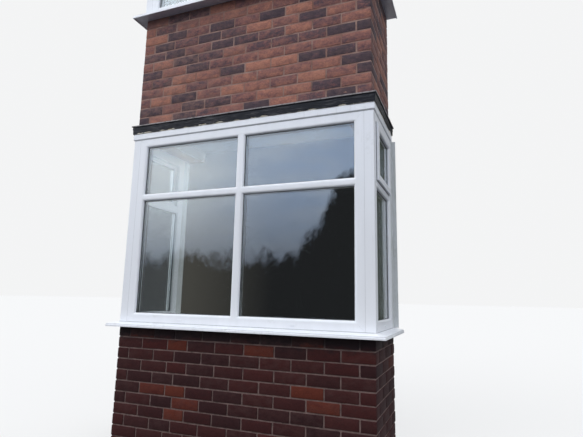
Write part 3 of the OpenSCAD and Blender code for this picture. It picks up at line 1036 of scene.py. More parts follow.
class GeometryTree:
    """A Geometry Nodes tree that is run once on a mesh and leaves a plain mesh.

    Its smooth is the angle in degrees below which edges of the result are shaded smooth.
    """

    smooth = 60.0

    def __init__(self, name: str, sockets: dict[str, float | int | None]) -> None:
        """Make the tree and its named inputs, and a Material input.

        Args:
            name: the tree's name.
            sockets: defaults by name; one without a default takes an object.
        """
        self.tree = bpy.data.node_groups.new(name, "GeometryNodeTree")
        self.graph = Graph(self.tree)
        face = self.tree.interface
        face.new_socket(name="Geometry", in_out="INPUT", socket_type="NodeSocketGeometry")
        self.keys: dict[str, str] = {}
        for label, value in sockets.items():
            kind = {float: "Float", int: "Int"}.get(type(value), "Object")
            socket = face.new_socket(name=label, in_out="INPUT", socket_type="NodeSocket" + kind)
            if value is not None:
                socket.default_value = value
            self.keys[label] = socket.identifier
        socket = face.new_socket(name="Material", in_out="INPUT", socket_type="NodeSocketMaterial")
        self.keys["Material"] = socket.identifier
        face.new_socket(name="Geometry", in_out="OUTPUT", socket_type="NodeSocketGeometry")
        self.start = self.graph.add("NodeGroupInput")

    def stored(self, name: str) -> Value:
        """A vector stored on the points."""
        return self.graph.add("GeometryNodeInputNamedAttribute", {"Name": name}, data_type="FLOAT_VECTOR")

    def vector(self, operation: str, first: Any, second: Any) -> Value:
        """Add a Vector Math node."""
        key = "Scale" if operation == "SCALE" else 1
        return self.graph.add("ShaderNodeVectorMath", {0: first, key: second}, operation=operation)

    def lumps(self, scale: Any) -> Value:
        """Noise at each point's place."""
        place = self.graph.add("GeometryNodeInputPosition")
        return self.graph.add("ShaderNodeTexNoise", {"Vector": place, "Scale": scale, "Detail": 2.0})

    def moved(self, geometry: Value, offset: Value) -> Value:
        """Move every point by an offset."""
        return self.graph.add("GeometryNodeSetPosition", {"Geometry": geometry, "Offset": offset})

    def spin(self) -> Value:
        """The rotation stored on the points as a turn."""
        return self.graph.add("FunctionNodeEulerToRotation", {0: self.stored("turn")})

    def copies(self, points: Value, part: str, **inputs: Value) -> Value:
        """Put a turned copy of an object on every point.

        Args:
            points: the points.
            part: the input that takes the object.
            **inputs: other inputs of the node.

        Returns:
            The copies.
        """
        whole = self.graph.add("GeometryNodeObjectInfo", {"Object": self.start[part]})["Geometry"]
        inputs = {"Points": points, "Instance": whole, "Rotation": self.spin(), **inputs}
        return self.graph.add("GeometryNodeInstanceOnPoints", inputs)

    def close(self, geometry: Value) -> None:
        """End the tree in Realize Instances and Set Material.

        Args:
            geometry: what the tree has made.
        """
        real = self.graph.add("GeometryNodeRealizeInstances", {"Geometry": geometry})
        inputs = {"Geometry": real, "Material": self.start["Material"]}
        self.graph.add("NodeGroupOutput", {0: self.graph.add("GeometryNodeSetMaterial", inputs)})

    def run(
        self, name: str, source: bpy.types.Mesh, finish: Finish, values: dict[str, Any],
        drop: Sequence[str] = (),
    ) -> bpy.types.Object:
        """Run the tree on a mesh.

        Args:
            name: the finished piece's name.
            source: the points or paths that the tree starts from.
            finish: what the tree's Set Material gives.
            values: the other modifier inputs by name.
            drop: attributes that the finished mesh doesn't need.

        Returns:
            A plain object at the origin.
        """
        carrier = add_object(name + "_source", source)
        modifier = carrier.modifiers.new("build", "NODES")
        modifier.node_group = self.tree
        for label, value in {**values, "Material": finish.material}.items():
            modifier[self.keys[label]] = value
        graph = bpy.context.evaluated_depsgraph_get()
        data = bpy.data.meshes.new_from_object(carrier.evaluated_get(graph))
        carrier.modifiers.clear()
        bpy.data.objects.remove(carrier)
        data.name = name
        for label in drop:
            if label in data.attributes:
                data.attributes.remove(data.attributes[label])
        return place_mesh(name, data, self.smooth)


class BeadTree(GeometryTree):
    """Runs a round bead along paths, with rounded corners: gaskets, sealant and seams."""

    def __init__(self) -> None:
        """Build the tree."""
        super().__init__("bead_on_path", {"Radius": 0.002, "Corner": 0.004, "Wobble": 0.0, "Sides": 6})
        graph, start = self.graph, self.start
        path = graph.add("GeometryNodeMeshToCurve", {"Mesh": start["Geometry"]})
        inputs = {"Curve": path, "Count": 3, "Radius": start["Corner"], "Limit Radius": True}
        bent = graph.add("GeometryNodeFilletCurve", inputs, mode="POLY")
        inputs = {"Resolution": start["Sides"], "Radius": start["Radius"]}
        ring = graph.add("GeometryNodeCurvePrimitiveCircle", inputs)
        inputs = {"Curve": bent, "Profile Curve": ring, "Fill Caps": True}
        tube = graph.add("GeometryNodeCurveToMesh", inputs)
        centred = self.vector("SUBTRACT", self.lumps(22.0)["Color"], (0.5, 0.5, 0.5))
        self.close(self.moved(tube, self.vector("SCALE", centred, start["Wobble"])))

    def draw(
        self, name: str, paths: Paths, finish: Finish, radius: float,
        corner: float = 0.0, wobble: float = 0.0, sides: int = 6,
    ) -> None:
        """Run the bead along paths and hand the piece over.

        Args:
            name: the piece's name.
            paths: what it follows.
            finish: its finish.
            radius: half its thickness.
            corner: radius of its bends.
            wobble: how uneven it is.
            sides: faces round it.
        """
        source = bpy.data.meshes.new(name + "_paths")
        source.from_pydata(paths.points, paths.edges, [])
        values = {"Radius": radius, "Corner": corner, "Wobble": wobble, "Sides": sides}
        hand_over(self.run(name, source, finish, values), finish)


class FixingTree(GeometryTree):
    """Puts a copy of one small part, turned as needed, on every point: brackets, covers and handles."""

    smooth = 35.0

    def __init__(self) -> None:
        """Build the tree."""
        super().__init__("fixings_on_points", {"Part": None})
        self.close(self.copies(self.start["Geometry"], "Part"))

    def fix(
        self, name: str, part: bpy.types.Object, spots: Sequence[tuple[Vector, Side]], finish: Finish
    ) -> None:
        """Put copies of a part and hand them over as one piece; the part is removed.

        Args:
            name: the piece's name.
            part: the part, made to face the front.
            spots: where each copy goes, and the side that it faces.
            finish: its finish.
        """
        part.hide_render = True
        source = bpy.data.meshes.new(name + "_points")
        source.from_pydata([tuple(p) for p, _ in spots], [], [])
        store(source, "turn", [side.turn for _, side in spots])
        piece = self.run(name, source, finish, {"Part": part}, ("turn",))
        bpy.data.objects.remove(part)
        hand_over(piece, finish)


@dataclass
class Block:
    """One brick, slate or board to be laid."""

    centre: Point
    size: Point
    tone: float = 0.5
    smear: float = 0.0
    turn: Point = (0.0, 0.0, 0.0)


class Layer(GeometryTree):
    """Lays a rounded block of any size on every point: bricks, slates and boards."""

    smooth = 50.0

    def __init__(self) -> None:
        """Build the tree and the rounded block."""
        sizes = {"Rounding": 0.003, "Shift": 0.0, "Roughness": 0.0, "Rough Scale": 20.0}
        super().__init__("laid_blocks", {"Block": None, **sizes, "Seed": 1})
        self.block = self._rounded_block()
        graph, start = self.graph, self.start
        ends = {0: (-1.0, -1.0, -1.0), 1: (1.0, 1.0, 1.0), "Seed": start["Seed"] + 3.0}
        draw = graph.add("FunctionNodeRandomValue", ends, data_type="FLOAT_VECTOR")
        shifted = self.moved(start["Geometry"], self.vector("SCALE", draw, start["Shift"]))
        laid = self.copies(shifted, "Block", Scale=start["Rounding"])
        grown = self.moved(graph.add("GeometryNodeRealizeInstances", {"Geometry": laid}), self._reach())
        push = (self.lumps(start["Rough Scale"]) - 0.5) * start["Roughness"] * 2.0
        self.close(self.moved(grown, self.vector("SCALE", graph.add("GeometryNodeInputNormal"), push)))

    def _reach(self) -> Value:
        """How far each corner of the small block moves to give the block its size.

        Returns:
            The move, turned as the block is.
        """
        half = self.vector("SCALE", self.stored("size"), 0.5)
        less = self.vector("SUBTRACT", half, self.start["Rounding"])
        reach = self.vector("MULTIPLY", self.stored("corner"), less)
        return self.graph.add("FunctionNodeRotateVector", {0: reach, 1: self.spin()})

    @staticmethod
    def _rounded_block() -> bpy.types.Object:
        """Make the small block: vertices at unit distance, each with the corner that it follows.

        Returns:
            The block, hidden from the render.
        """
        wide = ((-1.0, -1.0), (-1.0, 0.0), (-0.33, 0.0), (0.33, 0.0), (1.0, 0.0), (1.0, 1.0))
        narrow = ((-1.0, -1.0), (-1.0, 0.0), (0.0, 0.0), (1.0, 0.0), (1.0, 1.0))
        samples = (wide, narrow, narrow)
        places: dict[tuple[int, ...], int] = {}
        faces: list[list[int]] = []
        for axis in range(3):
            first, second = (axis + 1) % 3, (axis + 2) % 3
            for end in (0, len(samples[axis]) - 1):
                for a in range(len(samples[first]) - 1):
                    for b in range(len(samples[second]) - 1):
                        ring = []
                        for da, db in ((0, 0), (1, 0), (1, 1), (0, 1)):
                            key = [0, 0, 0]
                            key[axis], key[first], key[second] = end, a + da, b + db
                            ring.append(places.setdefault(tuple(key), len(places)))
                        faces.append(ring if end else ring[::-1])
        chosen = [[samples[axis][number] for axis, number in enumerate(key)] for key in places]
        data = bpy.data.meshes.new("rounded_block")
        data.from_pydata([tuple(Vector([c[1] for c in spot]).normalized()) for spot in chosen], [], faces)
        store(data, "corner", [Vector([c[0] for c in spot]) for spot in chosen])
        part = add_object("rounded_block", data)
        part.hide_render = True
        return part

    def lay(
        self, name: str, blocks: Sequence[Block], finish: Finish, rounding: float,
        rough: float, rough_scale: float = 20.0, shift: float = 0.0, seed: int = 1,
    ) -> bpy.types.Object:
        """Lay blocks as one piece.

        Args:
            name: the piece's name.
            blocks: what is laid.
            finish: finish set by the tree.
            rounding: radius of the blocks' edges.
            rough: height of the lumps on the blocks' faces.
            rough_scale: how close the lumps are.
            shift: most that a block is out of place.
            seed: fixed seed of the random values.

        Returns:
            The piece, a plain mesh.
        """
        data = bpy.data.meshes.new(name + "_points")
        data.from_pydata([b.centre for b in blocks], [], [])
        for label in ("size", "turn", "tone", "smear"):
            store(data, label, [getattr(block, label) for block in blocks])
        values = {
            "Block": self.block, "Rounding": rounding, "Shift": shift, "Roughness": rough,
            "Rough Scale": rough_scale, "Seed": seed,
        }
        return self.run(name, data, finish, values, ("size", "turn", "corner"))

    def clear(self) -> None:
        """Remove the small block once everything is laid."""
        bpy.data.objects.remove(self.block)


# Brickwork


@dataclass
class Brickwork:
    """One storey of brick walls on three sides, with their mortar."""

    name: str
    foot: float
    courses: int
    course: float
    joint: float
    set_back: float
    odd_row: tuple[float, ...]
    even_row: tuple[float, ...]
    stretcher: float
    recess: float = 0.005
    smeared: bool = False
    smeared_to: float = -0.1
    worst_to: float = -0.45
    uneven_to: float = -0.35
    wander: float = 0.02
    seed: int = 3
    thick: float = 0.1025
    cavity: float = 0.010
    ground_gap: float = 0.0035
    end_gap: float = 0.0042
    shortest: float = 0.008
    inner_long: float = 0.21
    inner_short: float = 0.1
    mortar_lift: float = 0.0005
    mortar_end: float = 0.011
    blocks: list[Block] = field(default_factory=list)

    def tone(self, rng: random.Random) -> float:
        """Draw the tone of one brick: mostly middling, now and then dark or bright.

        Args:
            rng: random values.

        Returns:
            The tone, about 0 to 1.
        """
        if self.smeared:
            return rng.uniform(-0.06, 0.16) if rng.random() < 0.2 else rng.uniform(0.24, 0.96)
        return rng.uniform(0.93, 1.05) if rng.random() < 0.08 else rng.gauss(0.42, 0.13)

    def smear(self, side: Side, along: float, rng: random.Random) -> float:
        """Draw how far a brick is smeared with mortar; the front's left part is the worst.

        Args:
            side: the wall it is in.
            along: its middle along that wall.
            rng: random values.

        Returns:
            The share, 0 to 1.
        """
        if not self.smeared:
            return rng.uniform(0.0, 0.25)
        left = side is Side.FRONT and along < self.smeared_to
        strength = 0.75 if left and along < self.worst_to else 0.5 if left else 0.3
        return strength * rng.uniform(0.5, 1.0)

    def add(
        self, side: Side, start: float, end: float, z: float, rng: random.Random, inner: bool = False
    ) -> None:
        """Add one brick.

        Args:
            side: the wall it is in.
            start: where it begins along that wall.
            end: where it ends.
            z: its foot.
            rng: random values for its tone.
            inner: whether it is in the inner leaf.
        """
        near = self.set_back + (self.thick + self.cavity if inner else 0.0)
        low = side.spot(start, near, max(z, self.ground_gap))
        high = side.spot(end, near + self.thick, z + self.course - self.joint)
        size = tuple(abs(a - b) for a, b in zip(low, high))
        tone, smear = self.tone(rng), self.smear(side, (start + end) / 2, rng)
        self.blocks.append(Block(tuple((low + high) / 2), size, tone, smear))

    def lay_front(self, row: int, z: float, rng: random.Random) -> None:
        """Lay one course of the front wall; every second course leaves its corners to the returns.

        Args:
            row: number of the course.
            z: its foot.
            rng: random values for the bricks.
        """
        lengths = self.even_row if row % 2 else self.odd_row
        edge = BAY.half_width - self.set_back
        start, last, shift = -edge, len(lengths) - 1, 0.0
        for i, length in enumerate(lengths):
            end = start + length - self.joint
            uneven = self.smeared and i < last - 1 and start < self.uneven_to
            wander = rng.uniform(-self.wander, self.wander) if uneven else 0.0
            if 0 < i < last or row % 2:
                self.add(Side.FRONT, start + shift, edge if i == last else end + wander, z, rng)
            shift = wander if i or row % 2 else 0.0
            start += length

    def lay_return(self, side: Side, row: int, z: float, rng: random.Random) -> None:
        """Lay one course of a return wall, from the front corner to the back.

        Args:
            side: the return.
            row: number of the course.
            z: its foot.
            rng: random values for the bricks.
        """
        depth = BAY.depth - self.end_gap
        place = self.set_back + (self.thick + self.joint if row % 2 else 0.0)
        while place < depth - self.shortest:
            end = min(place + self.stretcher - self.joint, depth)
            self.add(side, place, end, z, rng)
            place = end + self.joint
        self.add(side, depth - (self.inner_long if row % 2 else self.inner_short), depth, z, rng, inner=True)

    def bed(self, mortar: Finish) -> None:
        """Make the mortar that fills the walls behind the bricks' faces.

        Args:
            mortar: its finish.
        """
        maker = Maker(self.name + "_mortar")
        low, top = self.foot + self.mortar_lift, self.foot + self.courses * self.course
        edge = BAY.half_width - self.set_back - self.recess
        near, back = self.set_back + self.recess, self.set_back + BAY.wall
        maker.side_box(Side.FRONT, (-edge, near, low), (edge, back, top))
        for side in RETURNS:
            maker.side_box(side, (back, near, low), (BAY.depth - self.mortar_end, back, top))
        hand_over(maker.finish(), mortar)

    def build(self, layer: Layer, brick: Finish, mortar: Finish) -> None:
        """Lay every course and make both pieces.

        Args:
            layer: lays the bricks.
            brick: the bricks' finish.
            mortar: the mortar's finish.
        """
        rng = random.Random(self.seed)
        for row in range(self.courses):
            z = self.foot + row * self.course
            self.lay_front(row, z, rng)
            for side in RETURNS:
                self.lay_return(side, row, z, rng)
        piece = layer.lay(
            self.name + "_bricks", self.blocks, brick, 0.004, 0.0022, 26.0, shift=0.0009, seed=self.seed,
        )
        hand_over(piece, brick, [f"{self.name}_wall_{side.value}" for side in Side])
        self.bed(mortar)


def base_brickwork() -> Brickwork:
    """Size the eleven courses of dark red brick below the lower sill.

    Returns:
        The brickwork, not yet laid.
    """
    whole = 0.238
    return Brickwork(
        "base", 0.0, 11, 0.083, 0.010, BAY.base_set_back,
        odd_row=(0.112, whole, 0.192, *([whole] * 6), 0.112),
        even_row=(whole, whole, 0.178, *([whole] * 6)),
        stretcher=whole, seed=11,
    )


def spandrel_brickwork() -> Brickwork:
    """Size the twelve courses of mixed brick between the windows.

    Returns:
        The brickwork, not yet laid.
    """
    whole = (2 * (BAY.half_width - BAY.spandrel_set_back) + 0.009) / 9
    half = whole / 2
    return Brickwork(
        "spandrel", BAY.spandrel_foot, 12, 0.085, 0.009, BAY.spandrel_set_back,
        odd_row=(half, *([whole] * 8), half), even_row=tuple([whole] * 9),
        stretcher=whole, recess=0.0018, smeared=True, seed=5,
    )


# Windows


@dataclass(frozen=True)
class Light:
    """The daylight opening of one pane."""

    side: Side
    start: float
    end: float
    low: float
    high: float
    depth: float
    opening: bool = False

    def ring(self, grow: float, depth: float) -> list[Vector]:
        """Find the corners of a rectangle round the opening.

        Args:
            grow: how much larger it is than the opening, on every side.
            depth: distance behind the frames' outer face.

        Returns:
            Four points, in order.
        """
        left, right, low, high = self.start - grow, self.end + grow, self.low - grow, self.high + grow
        corners = ((left, low), (right, low), (right, high), (left, high))
        return [self.side.spot(along, depth, up) for along, up in corners]


@dataclass
class Window:
    """One storey's window on three sides."""

    storey: Storey
    palette: Palette
    beads: BeadTree
    edge: float = 0.897
    near: float = 0.0335
    bar: float = 0.073
    lower_top: float = 0.987
    upper_low: float = 1.045
    upper_high: float = 1.453
    side_start: float = 0.089
    side_end: float = 0.579
    vent_start: float = 0.135
    vent_end: float = 0.533
    vent_low: float = 1.091
    vent_high: float = 1.407
    unit_back: float = 0.022
    vent_back: float = 0.005
    unit: float = 0.028
    sheet: float = 0.004
    cover: float = 0.009
    spacer: float = 0.0125
    spacer_gap: float = 0.0002
    spacer_edge: float = 0.001
    gasket_proud: float = 0.0008
    gasket_reach: float = 0.0012
    joint_start: float = 0.0163
    joint_back: float = 0.0005
    joint_proud: float = 0.0002
    joint_short: float = 0.004
    seal_end: float = 0.079
    post_side: float = 0.016
    weld_sunk: float = 0.0002
    sash: float = 0.056
    slope: float = 0.020
    fall: float = 0.014
    proud: float = 0.017

    def lights(self) -> list[Light]:
        """List all eight panes of this storey.

        Returns:
            The panes, the front ones first.
        """
        z = self.storey.value
        lower, upper = (z + self.bar, z + self.lower_top), (z + self.upper_low, z + self.upper_high)
        vent = (z + self.vent_low, z + self.vent_high)
        found: list[Light] = []
        for start, end in ((-self.edge, -self.near), (self.near, self.edge)):
            found += [Light(Side.FRONT, start, end, *span, self.unit_back) for span in (lower, upper)]
        for side in RETURNS:
            found.append(Light(side, self.side_start, self.side_end, *lower, self.unit_back))
            found.append(Light(side, self.vent_start, self.vent_end, *vent, self.vent_back, True))
        return found

    def frames(self, nodes: dict[str, bpy.types.Object]) -> None:
        """Round the edges of every plastic member.

        Args:
            nodes: the CAD nodes by name.
        """
        palette = self.palette
        for members, finish, width in (
            ("frame_front frame_left frame_right corner_posts", palette.frame, 0.0012),
            ("vent_left vent_right", palette.frame, 0.0014), ("head_trim", palette.trim, 0.001),
            ("wall_fillers", palette.weathered, 0.0015),
            ("sill_front sill_left sill_right", palette.sill, 0.0012), ("window_board", palette.board, 0.004),
        ):
            for member in members.split():
                node = f"{self.storey.word}_{member}"
                maker = node_copy(nodes[node], node + "_piece")
                maker.bevel(width)
                hand_over(maker.finish(30.0, weighted=True), finish, [node])

    def glass(self) -> None:
        """Make each sealed unit as two sheets with a spacer between them."""
        word, cover = self.storey.word, self.cover
        sheets, spacers = Maker(word + "_glass"), Maker(word + "_spacers")
        for light in self.lights():
            for depth in (light.depth, light.depth + self.unit - self.sheet):
                low = (light.start - cover, depth, light.low - cover)
                high = (light.end + cover, depth + self.sheet, light.high + cover)
                sheets.side_box(light.side, low, high)
            self._spacer(spacers, light)
        hand_over(sheets.finish(), self.palette.glass, [word + "_glazing"])
        hand_over(spacers.finish(), self.palette.spacer)

    def _spacer(self, maker: Maker, light: Light) -> None:
        """Add the hollow bar round the edge of a unit, with rounded shoulders.

        Args:
            maker: takes the bar.
            light: the unit's pane.
        """
        near = light.depth + self.sheet + self.spacer_gap
        far = light.depth + self.unit - self.sheet - self.spacer_gap
        edge, outer, inner = self.spacer_edge, self.cover - self.spacer_edge, self.cover - self.spacer
        outline = (
            (outer, near), (inner + edge, near), (inner, near + 2 * edge),
            (inner, far - 2 * edge), (inner + edge, far), (outer, far),
        )
        maker.loft([[light.ring(grow, depth)[i] for grow, depth in outline] for i in range(4)], closed=True)

    def gaskets(self) -> None:
        """Run the black gaskets round both faces of every unit, and the seal of each opening light, which is
        partly a real seal and partly painted shade standing in for the shadow in the gap round the sash.
        """
        paths = Paths()
        for light in self.lights():
            for depth in (light.depth - self.gasket_proud, light.depth + self.unit + self.gasket_proud):
                paths.add(light.ring(-self.gasket_reach, depth), closed=True)
            # The seal round an opening light is partly real and partly painted shade in the gap beside the
            # sash.
            if light.opening:
                paths.add(light.ring(self.sash + self.gasket_reach, 0.0), closed=True)
        name, finish = self.storey.word + "_gaskets", self.palette.gasket
        self.beads.draw(name, paths, finish, 0.0027, corner=0.004, wobble=0.0006, sides=8)

    def seals(self) -> None:
        """Run the grey sealant along the sill joint and the head."""
        z, far = self.storey.value, BAY.depth - self.seal_end
        paths = Paths()
        for up, out in ((z + 0.0008, 0.0008), (z + BAY.window - 0.0006, 0.0006)):
            left = [Side.LEFT.spot(far, -out, up), Side.LEFT.spot(-out, -out, up)]
            paths.add(left + [Side.RIGHT.spot(-out, -out, up), Side.RIGHT.spot(far, -out, up)])
        name, finish = self.storey.word + "_sealant", self.palette.sealant
        self.beads.draw(name, paths, finish, 0.0022, corner=0.003, wobble=0.0012)

    def joints(self) -> None:
        """Run a thin grey bead where each corner post meets the frames beside it, standing in for the shadow
        in that gap: painted shade.
        """
        foot, proud = self.storey.value, self.joint_proud
        low, high = foot + self.joint_short, foot + BAY.window - self.joint_short
        far = BAY.depth - BAY.filler - self.joint_back
        paths = Paths()
        for side in RETURNS[::-1]:
            for wall, along in ((Side.FRONT, side.hand * BAY.post), (side, self.joint_start), (side, far)):
                paths.add([wall.spot(along, -proud, low), wall.spot(along, -proud, high)])
        name, finish = self.storey.word + "_post_joints", self.palette.sealant
        self.beads.draw(name, paths, finish, 0.0005, wobble=0.0002)

    def welds(self) -> None:
        """Draw the fine weld seam across every mitred corner of the frames and opening lights."""
        z, far = self.storey.value, BAY.depth - BAY.filler
        whole = (z, z + BAY.window, 0.0, self.bar)
        bars = [(Side.FRONT, -BAY.post, BAY.post, *whole)]
        bars += [(side, self.post_side, far, *whole) for side in RETURNS]
        vent = (
            self.vent_start - self.sash, self.vent_end + self.sash, z + self.vent_low - self.sash,
            z + self.vent_high + self.sash, -self.proud, self.sash,
        )
        paths = Paths()
        for side, start, end, low, high, face, bar in bars + [(side, *vent) for side in RETURNS]:
            line = ((0.03, face), (1.0 - self.slope / bar, face), (0.97, face + self.fall))
            for along, run in ((start, bar), (end, -bar)):
                for up, rise in ((low, bar), (high, -bar)):
                    spots = [(along + run * t, depth + self.weld_sunk, up + rise * t) for t, depth in line]
                    paths.add([side.spot(*spot) for spot in spots])
        name, finish = self.storey.word + "_weld_seams", self.palette.sealant
        self.beads.draw(name, paths, finish, 0.00035, corner=0.001, wobble=0.0001, sides=5)

    def build(self, nodes: dict[str, bpy.types.Object]) -> None:
        """Make every piece of this storey's window.

        Args:
            nodes: the CAD nodes by name.
        """
        self.frames(nodes)
        self.glass()
        self.gaskets()
        self.seals()
        self.joints()
        self.welds()


@dataclass
class Fittings:
    """Small parts on the windows: drain covers outside and handles inside."""

    palette: Palette
    tree: FixingTree
    cover_x: tuple[float, ...] = (-0.471, 0.460)
    cover_up: float = 0.029
    cover_straight: float = 0.013
    cover_round: float = 0.0065
    handle_up: float = 1.077
    handle_in: float = 0.042
    lever_start: float = -0.012
    lever_length: float = 0.122
    lever_out: float = 0.036
    lever_bow: float = 0.004
    lever_thick: float = 0.006
    middle: float = 0.334

    def drain_cover(self) -> bpy.types.Object:
        """Make a small oval cap, face to -y.

        Returns:
            The part.
        """
        maker = Maker("drain_cover_part")
        rings, steps = [], 24
        for depth, scale in ((0.0, 1.0), (-0.003, 1.0), (-0.0042, 0.86)):
            ring = []
            for i in range(steps):
                angle = math.tau * i / steps
                end = math.copysign(self.cover_straight, math.cos(angle))
                x = end + self.cover_round * math.cos(angle) * scale
                ring.append(Vector((x, depth, self.cover_round * math.sin(angle) * scale)))
            rings.append(ring)
        maker.loft(rings)
        return maker.finish()

    def handle(self) -> bpy.types.Object:
        """Make a lever handle on its plate, face to +y, the lever lying to one side.

        Returns:
            The part.
        """
        maker = Maker("handle_part")
        maker.box((-0.014, 0.0, -0.033), (0.014, 0.009, 0.033))
        maker.box((-0.010, 0.008, -0.010), (0.010, 0.030, 0.010))
        maker.bevel(0.003, 3)
        rings, steps, thick = [], 8, self.lever_thick
        turns = [math.tau * k / 12 for k in range(12)]
        for t in range(steps + 1):
            x, half = self.lever_start + self.lever_length * t / steps, 0.0095 - 0.0035 * t / steps
            y = self.lever_out + self.lever_bow * math.sin(math.pi * t / steps)
            rings.append([Vector((x, y + thick * math.cos(a), half * math.sin(a))) for a in turns])
        maker.loft(rings)
        return maker.finish()

    def build(self) -> None:
        """Make the covers and handles of both storeys."""
        covers: list[tuple[Vector, Side]] = []
        handles: list[tuple[Vector, Side]] = []
        for storey in Storey:
            low, high = storey.value + self.cover_up, storey.value + self.handle_up
            covers += [(Side.FRONT.spot(x, 0.0, low), Side.FRONT) for x in self.cover_x]
            covers += [(side.spot(self.middle, 0.0, low), side) for side in RETURNS]
            handles += [(side.spot(self.middle, self.handle_in, high), side) for side in RETURNS]
        self.tree.fix("drain_covers", self.drain_cover(), covers, self.palette.frame)
        self.tree.fix("vent_handles", self.handle(), handles, self.palette.frame)


# Flashing


@dataclass
class Flashing:
    """The ragged black sheet under the spandrel, with bits of old mastic along its foot."""

    palette: Palette
    beads: BeadTree
    top: float = BAY.spandrel_foot
    lip: float = 0.025
    band: float = 0.0135
    foot_out: float = 0.0095
    drop: float = 0.075
    sheet: float = 0.003
    step: float = 0.010

    def outline(self, seed: Vector) -> list[tuple[float, float]]:
        """Section of the sheet at one place, as distances out and heights above its top.

        Args:
            seed: where along the sheet, for the noise.

        Returns:
            The outline's points, in order.
        """
        wave = noise.noise(seed * 7.0) * 0.0022
        fold = noise.noise(seed * 21.0 + Vector((5.0, 1.0, 2.0))) * 0.0024
        crease = noise.noise(seed * 34.0 + Vector((1.0, 7.0, 3.0))) * 0.0016
        torn = max(0.0, noise.noise(seed * 13.0 + Vector((0.0, 9.0, 4.0))) + 0.02) ** 1.2 * 0.055
        torn = min(0.011, torn * (1.4 if seed.x < 0.1 else 0.6))
        ragged = abs(noise.noise(seed * 61.0)) * 0.004
        drop = self.drop - torn - ragged
        lip = self.lip + wave
        foot = self.foot_out + abs(wave) * 0.6 + max(0.0, fold) * 0.8
        band = self.band + fold
        outer = [
            (-0.19, 0.0), (-0.016, 0.0), (lip - 0.001, wave * 0.3), (lip, -0.0012 + wave * 0.3),
            (lip, -0.0092 + wave * 0.2), (lip - 0.0012, -0.0104), (band + 0.0012, -0.0108),
            (band + 0.0042 + crease, -0.027), (band + 0.0006 + fold, -0.043),
            (foot + self.sheet + 0.0012, -drop + 0.007), (foot + self.sheet, -drop),
        ]
        inner = [
            (foot, -drop + 0.0008), (foot - 0.0004, -drop + 0.007), (band - 0.0024 + fold, -0.043),
            (band + 0.0012 + crease, -0.027), (band - 0.0018, -0.012), (band - 0.003, -0.0048),
            (-0.016, -self.sheet), (-0.19, -self.sheet),
        ]
        return outer + inner

    def columns(self) -> list[tuple[Side, float]]:
        """List places round the bay, from the back of the left return to the back of the right one.

        Returns:
            Sides with the share of their length.
        """
        depth_steps = int(BAY.depth / self.step)
        front_steps = int(2 * BAY.half_width / self.step)
        found = [(Side.LEFT, 1.0 - i / depth_steps) for i in range(depth_steps)]
        found += [(Side.FRONT, i / front_steps) for i in range(front_steps)]
        return found + [(Side.RIGHT, i / depth_steps) for i in range(depth_steps + 1)]

    def point(self, side: Side, share: float, out: float, up: float) -> Vector:
        """Find a point of the wrapped sheet, mitred at the corners.

        Args:
            side: the side it is on.
            share: how far along that side.
            out: distance in front of the frames' outer face.
            up: height above the ground.

        Returns:
            The point.
        """
        if side is Side.FRONT:
            return side.spot((BAY.half_width + out) * (2 * share - 1), -out, up)
        return side.spot((BAY.depth + out) * share - out, -out, up)

    def build(self) -> None:
        """Make the sheet and the mastic."""
        maker = Maker("flashing_sheet")
        rings = []
        for side, share in self.columns():
            section = self.outline(self.point(side, share, 0.0, 0.0))
            rings.append([self.point(side, share, out, self.top + up) for out, up in section])
        maker.loft(rings)
        hand_over(maker.finish(38.0), self.palette.flashing, ["flashing"])
        self.bedding()
        self.mastic()

    def bedding(self) -> None:
        """Run the old mastic bed behind the sheet's foot, seen where the sheet is torn."""
        paths, up = Paths(), self.top - 0.0705
        paths.add([self.point(side, min(share, 0.999), 0.0035, up) for side, share in self.columns()])
        self.beads.draw("mastic_bed", paths, self.palette.mastic, 0.0052, wobble=0.005, sides=8)

    def mastic(self) -> None:
        """Dab uneven bits of mastic between the sheet's foot and the trim."""
        maker = Maker("flashing_mastic")
        rng = random.Random(8)
        dabs = [
            (side, rng.uniform(*shares), rng.uniform(*lengths))
            for side, count, shares, lengths in (
                (Side.FRONT, 11, (0.02, 0.3), (0.02, 0.07)), (Side.FRONT, 7, (0.3, 0.62), (0.012, 0.05)),
                (Side.FRONT, 5, (0.62, 0.97), (0.008, 0.02)), (Side.RIGHT, 3, (0.1, 0.9), (0.01, 0.03)),
                (Side.LEFT, 4, (0.1, 0.9), (0.01, 0.04)),
            )
            for _ in range(count)
        ]
        for side, share, length in dabs:
            self.dab(maker, side, share, length, rng)
        hand_over(maker.finish(60.0), self.palette.mastic)

    def dab(self, maker: Maker, side: Side, share: float, length: float, rng: random.Random) -> None:
        """Add one lump of mastic, drawn out along the sheet.

        Args:
            maker: takes the lump.
            side: the side it is on.
            share: how far along that side.
            length: its length.
            rng: random values for its height and thickness.
        """
        up = self.top - 0.072 + rng.uniform(0.0, 0.006)
        thick = rng.uniform(0.003, 0.0055)
        place = self.point(side, share, 0.0105, up)
        run = Vector((0.0, 1.0, 0.0) if side.hand else (1.0, 0.0, 0.0))
        across = Vector((side.hand, 0.0, 0.0) if side.hand else (0.0, -1.0, 0.0))
        rise = Vector((0.0, 0.0, 1.0))
        rings = []
        for t in range(8):
            base = place + run * (length * (t / 7 - 0.5))
            swell = thick * math.sin(math.pi * min(0.97, max(0.03, t / 7))) ** 0.6
            ring = []
            for k in range(8):
                angle = math.tau * k / 8
                size = swell * (1.0 + 0.5 * noise.noise(base * 160.0 + Vector((k, 0.0, 0.0))))
                out = across * (0.7 * size * math.cos(angle))
                ring.append(base + out + rise * (1.2 * size * math.sin(angle)))
            rings.append(ring)
        maker.loft(rings)


# Roof


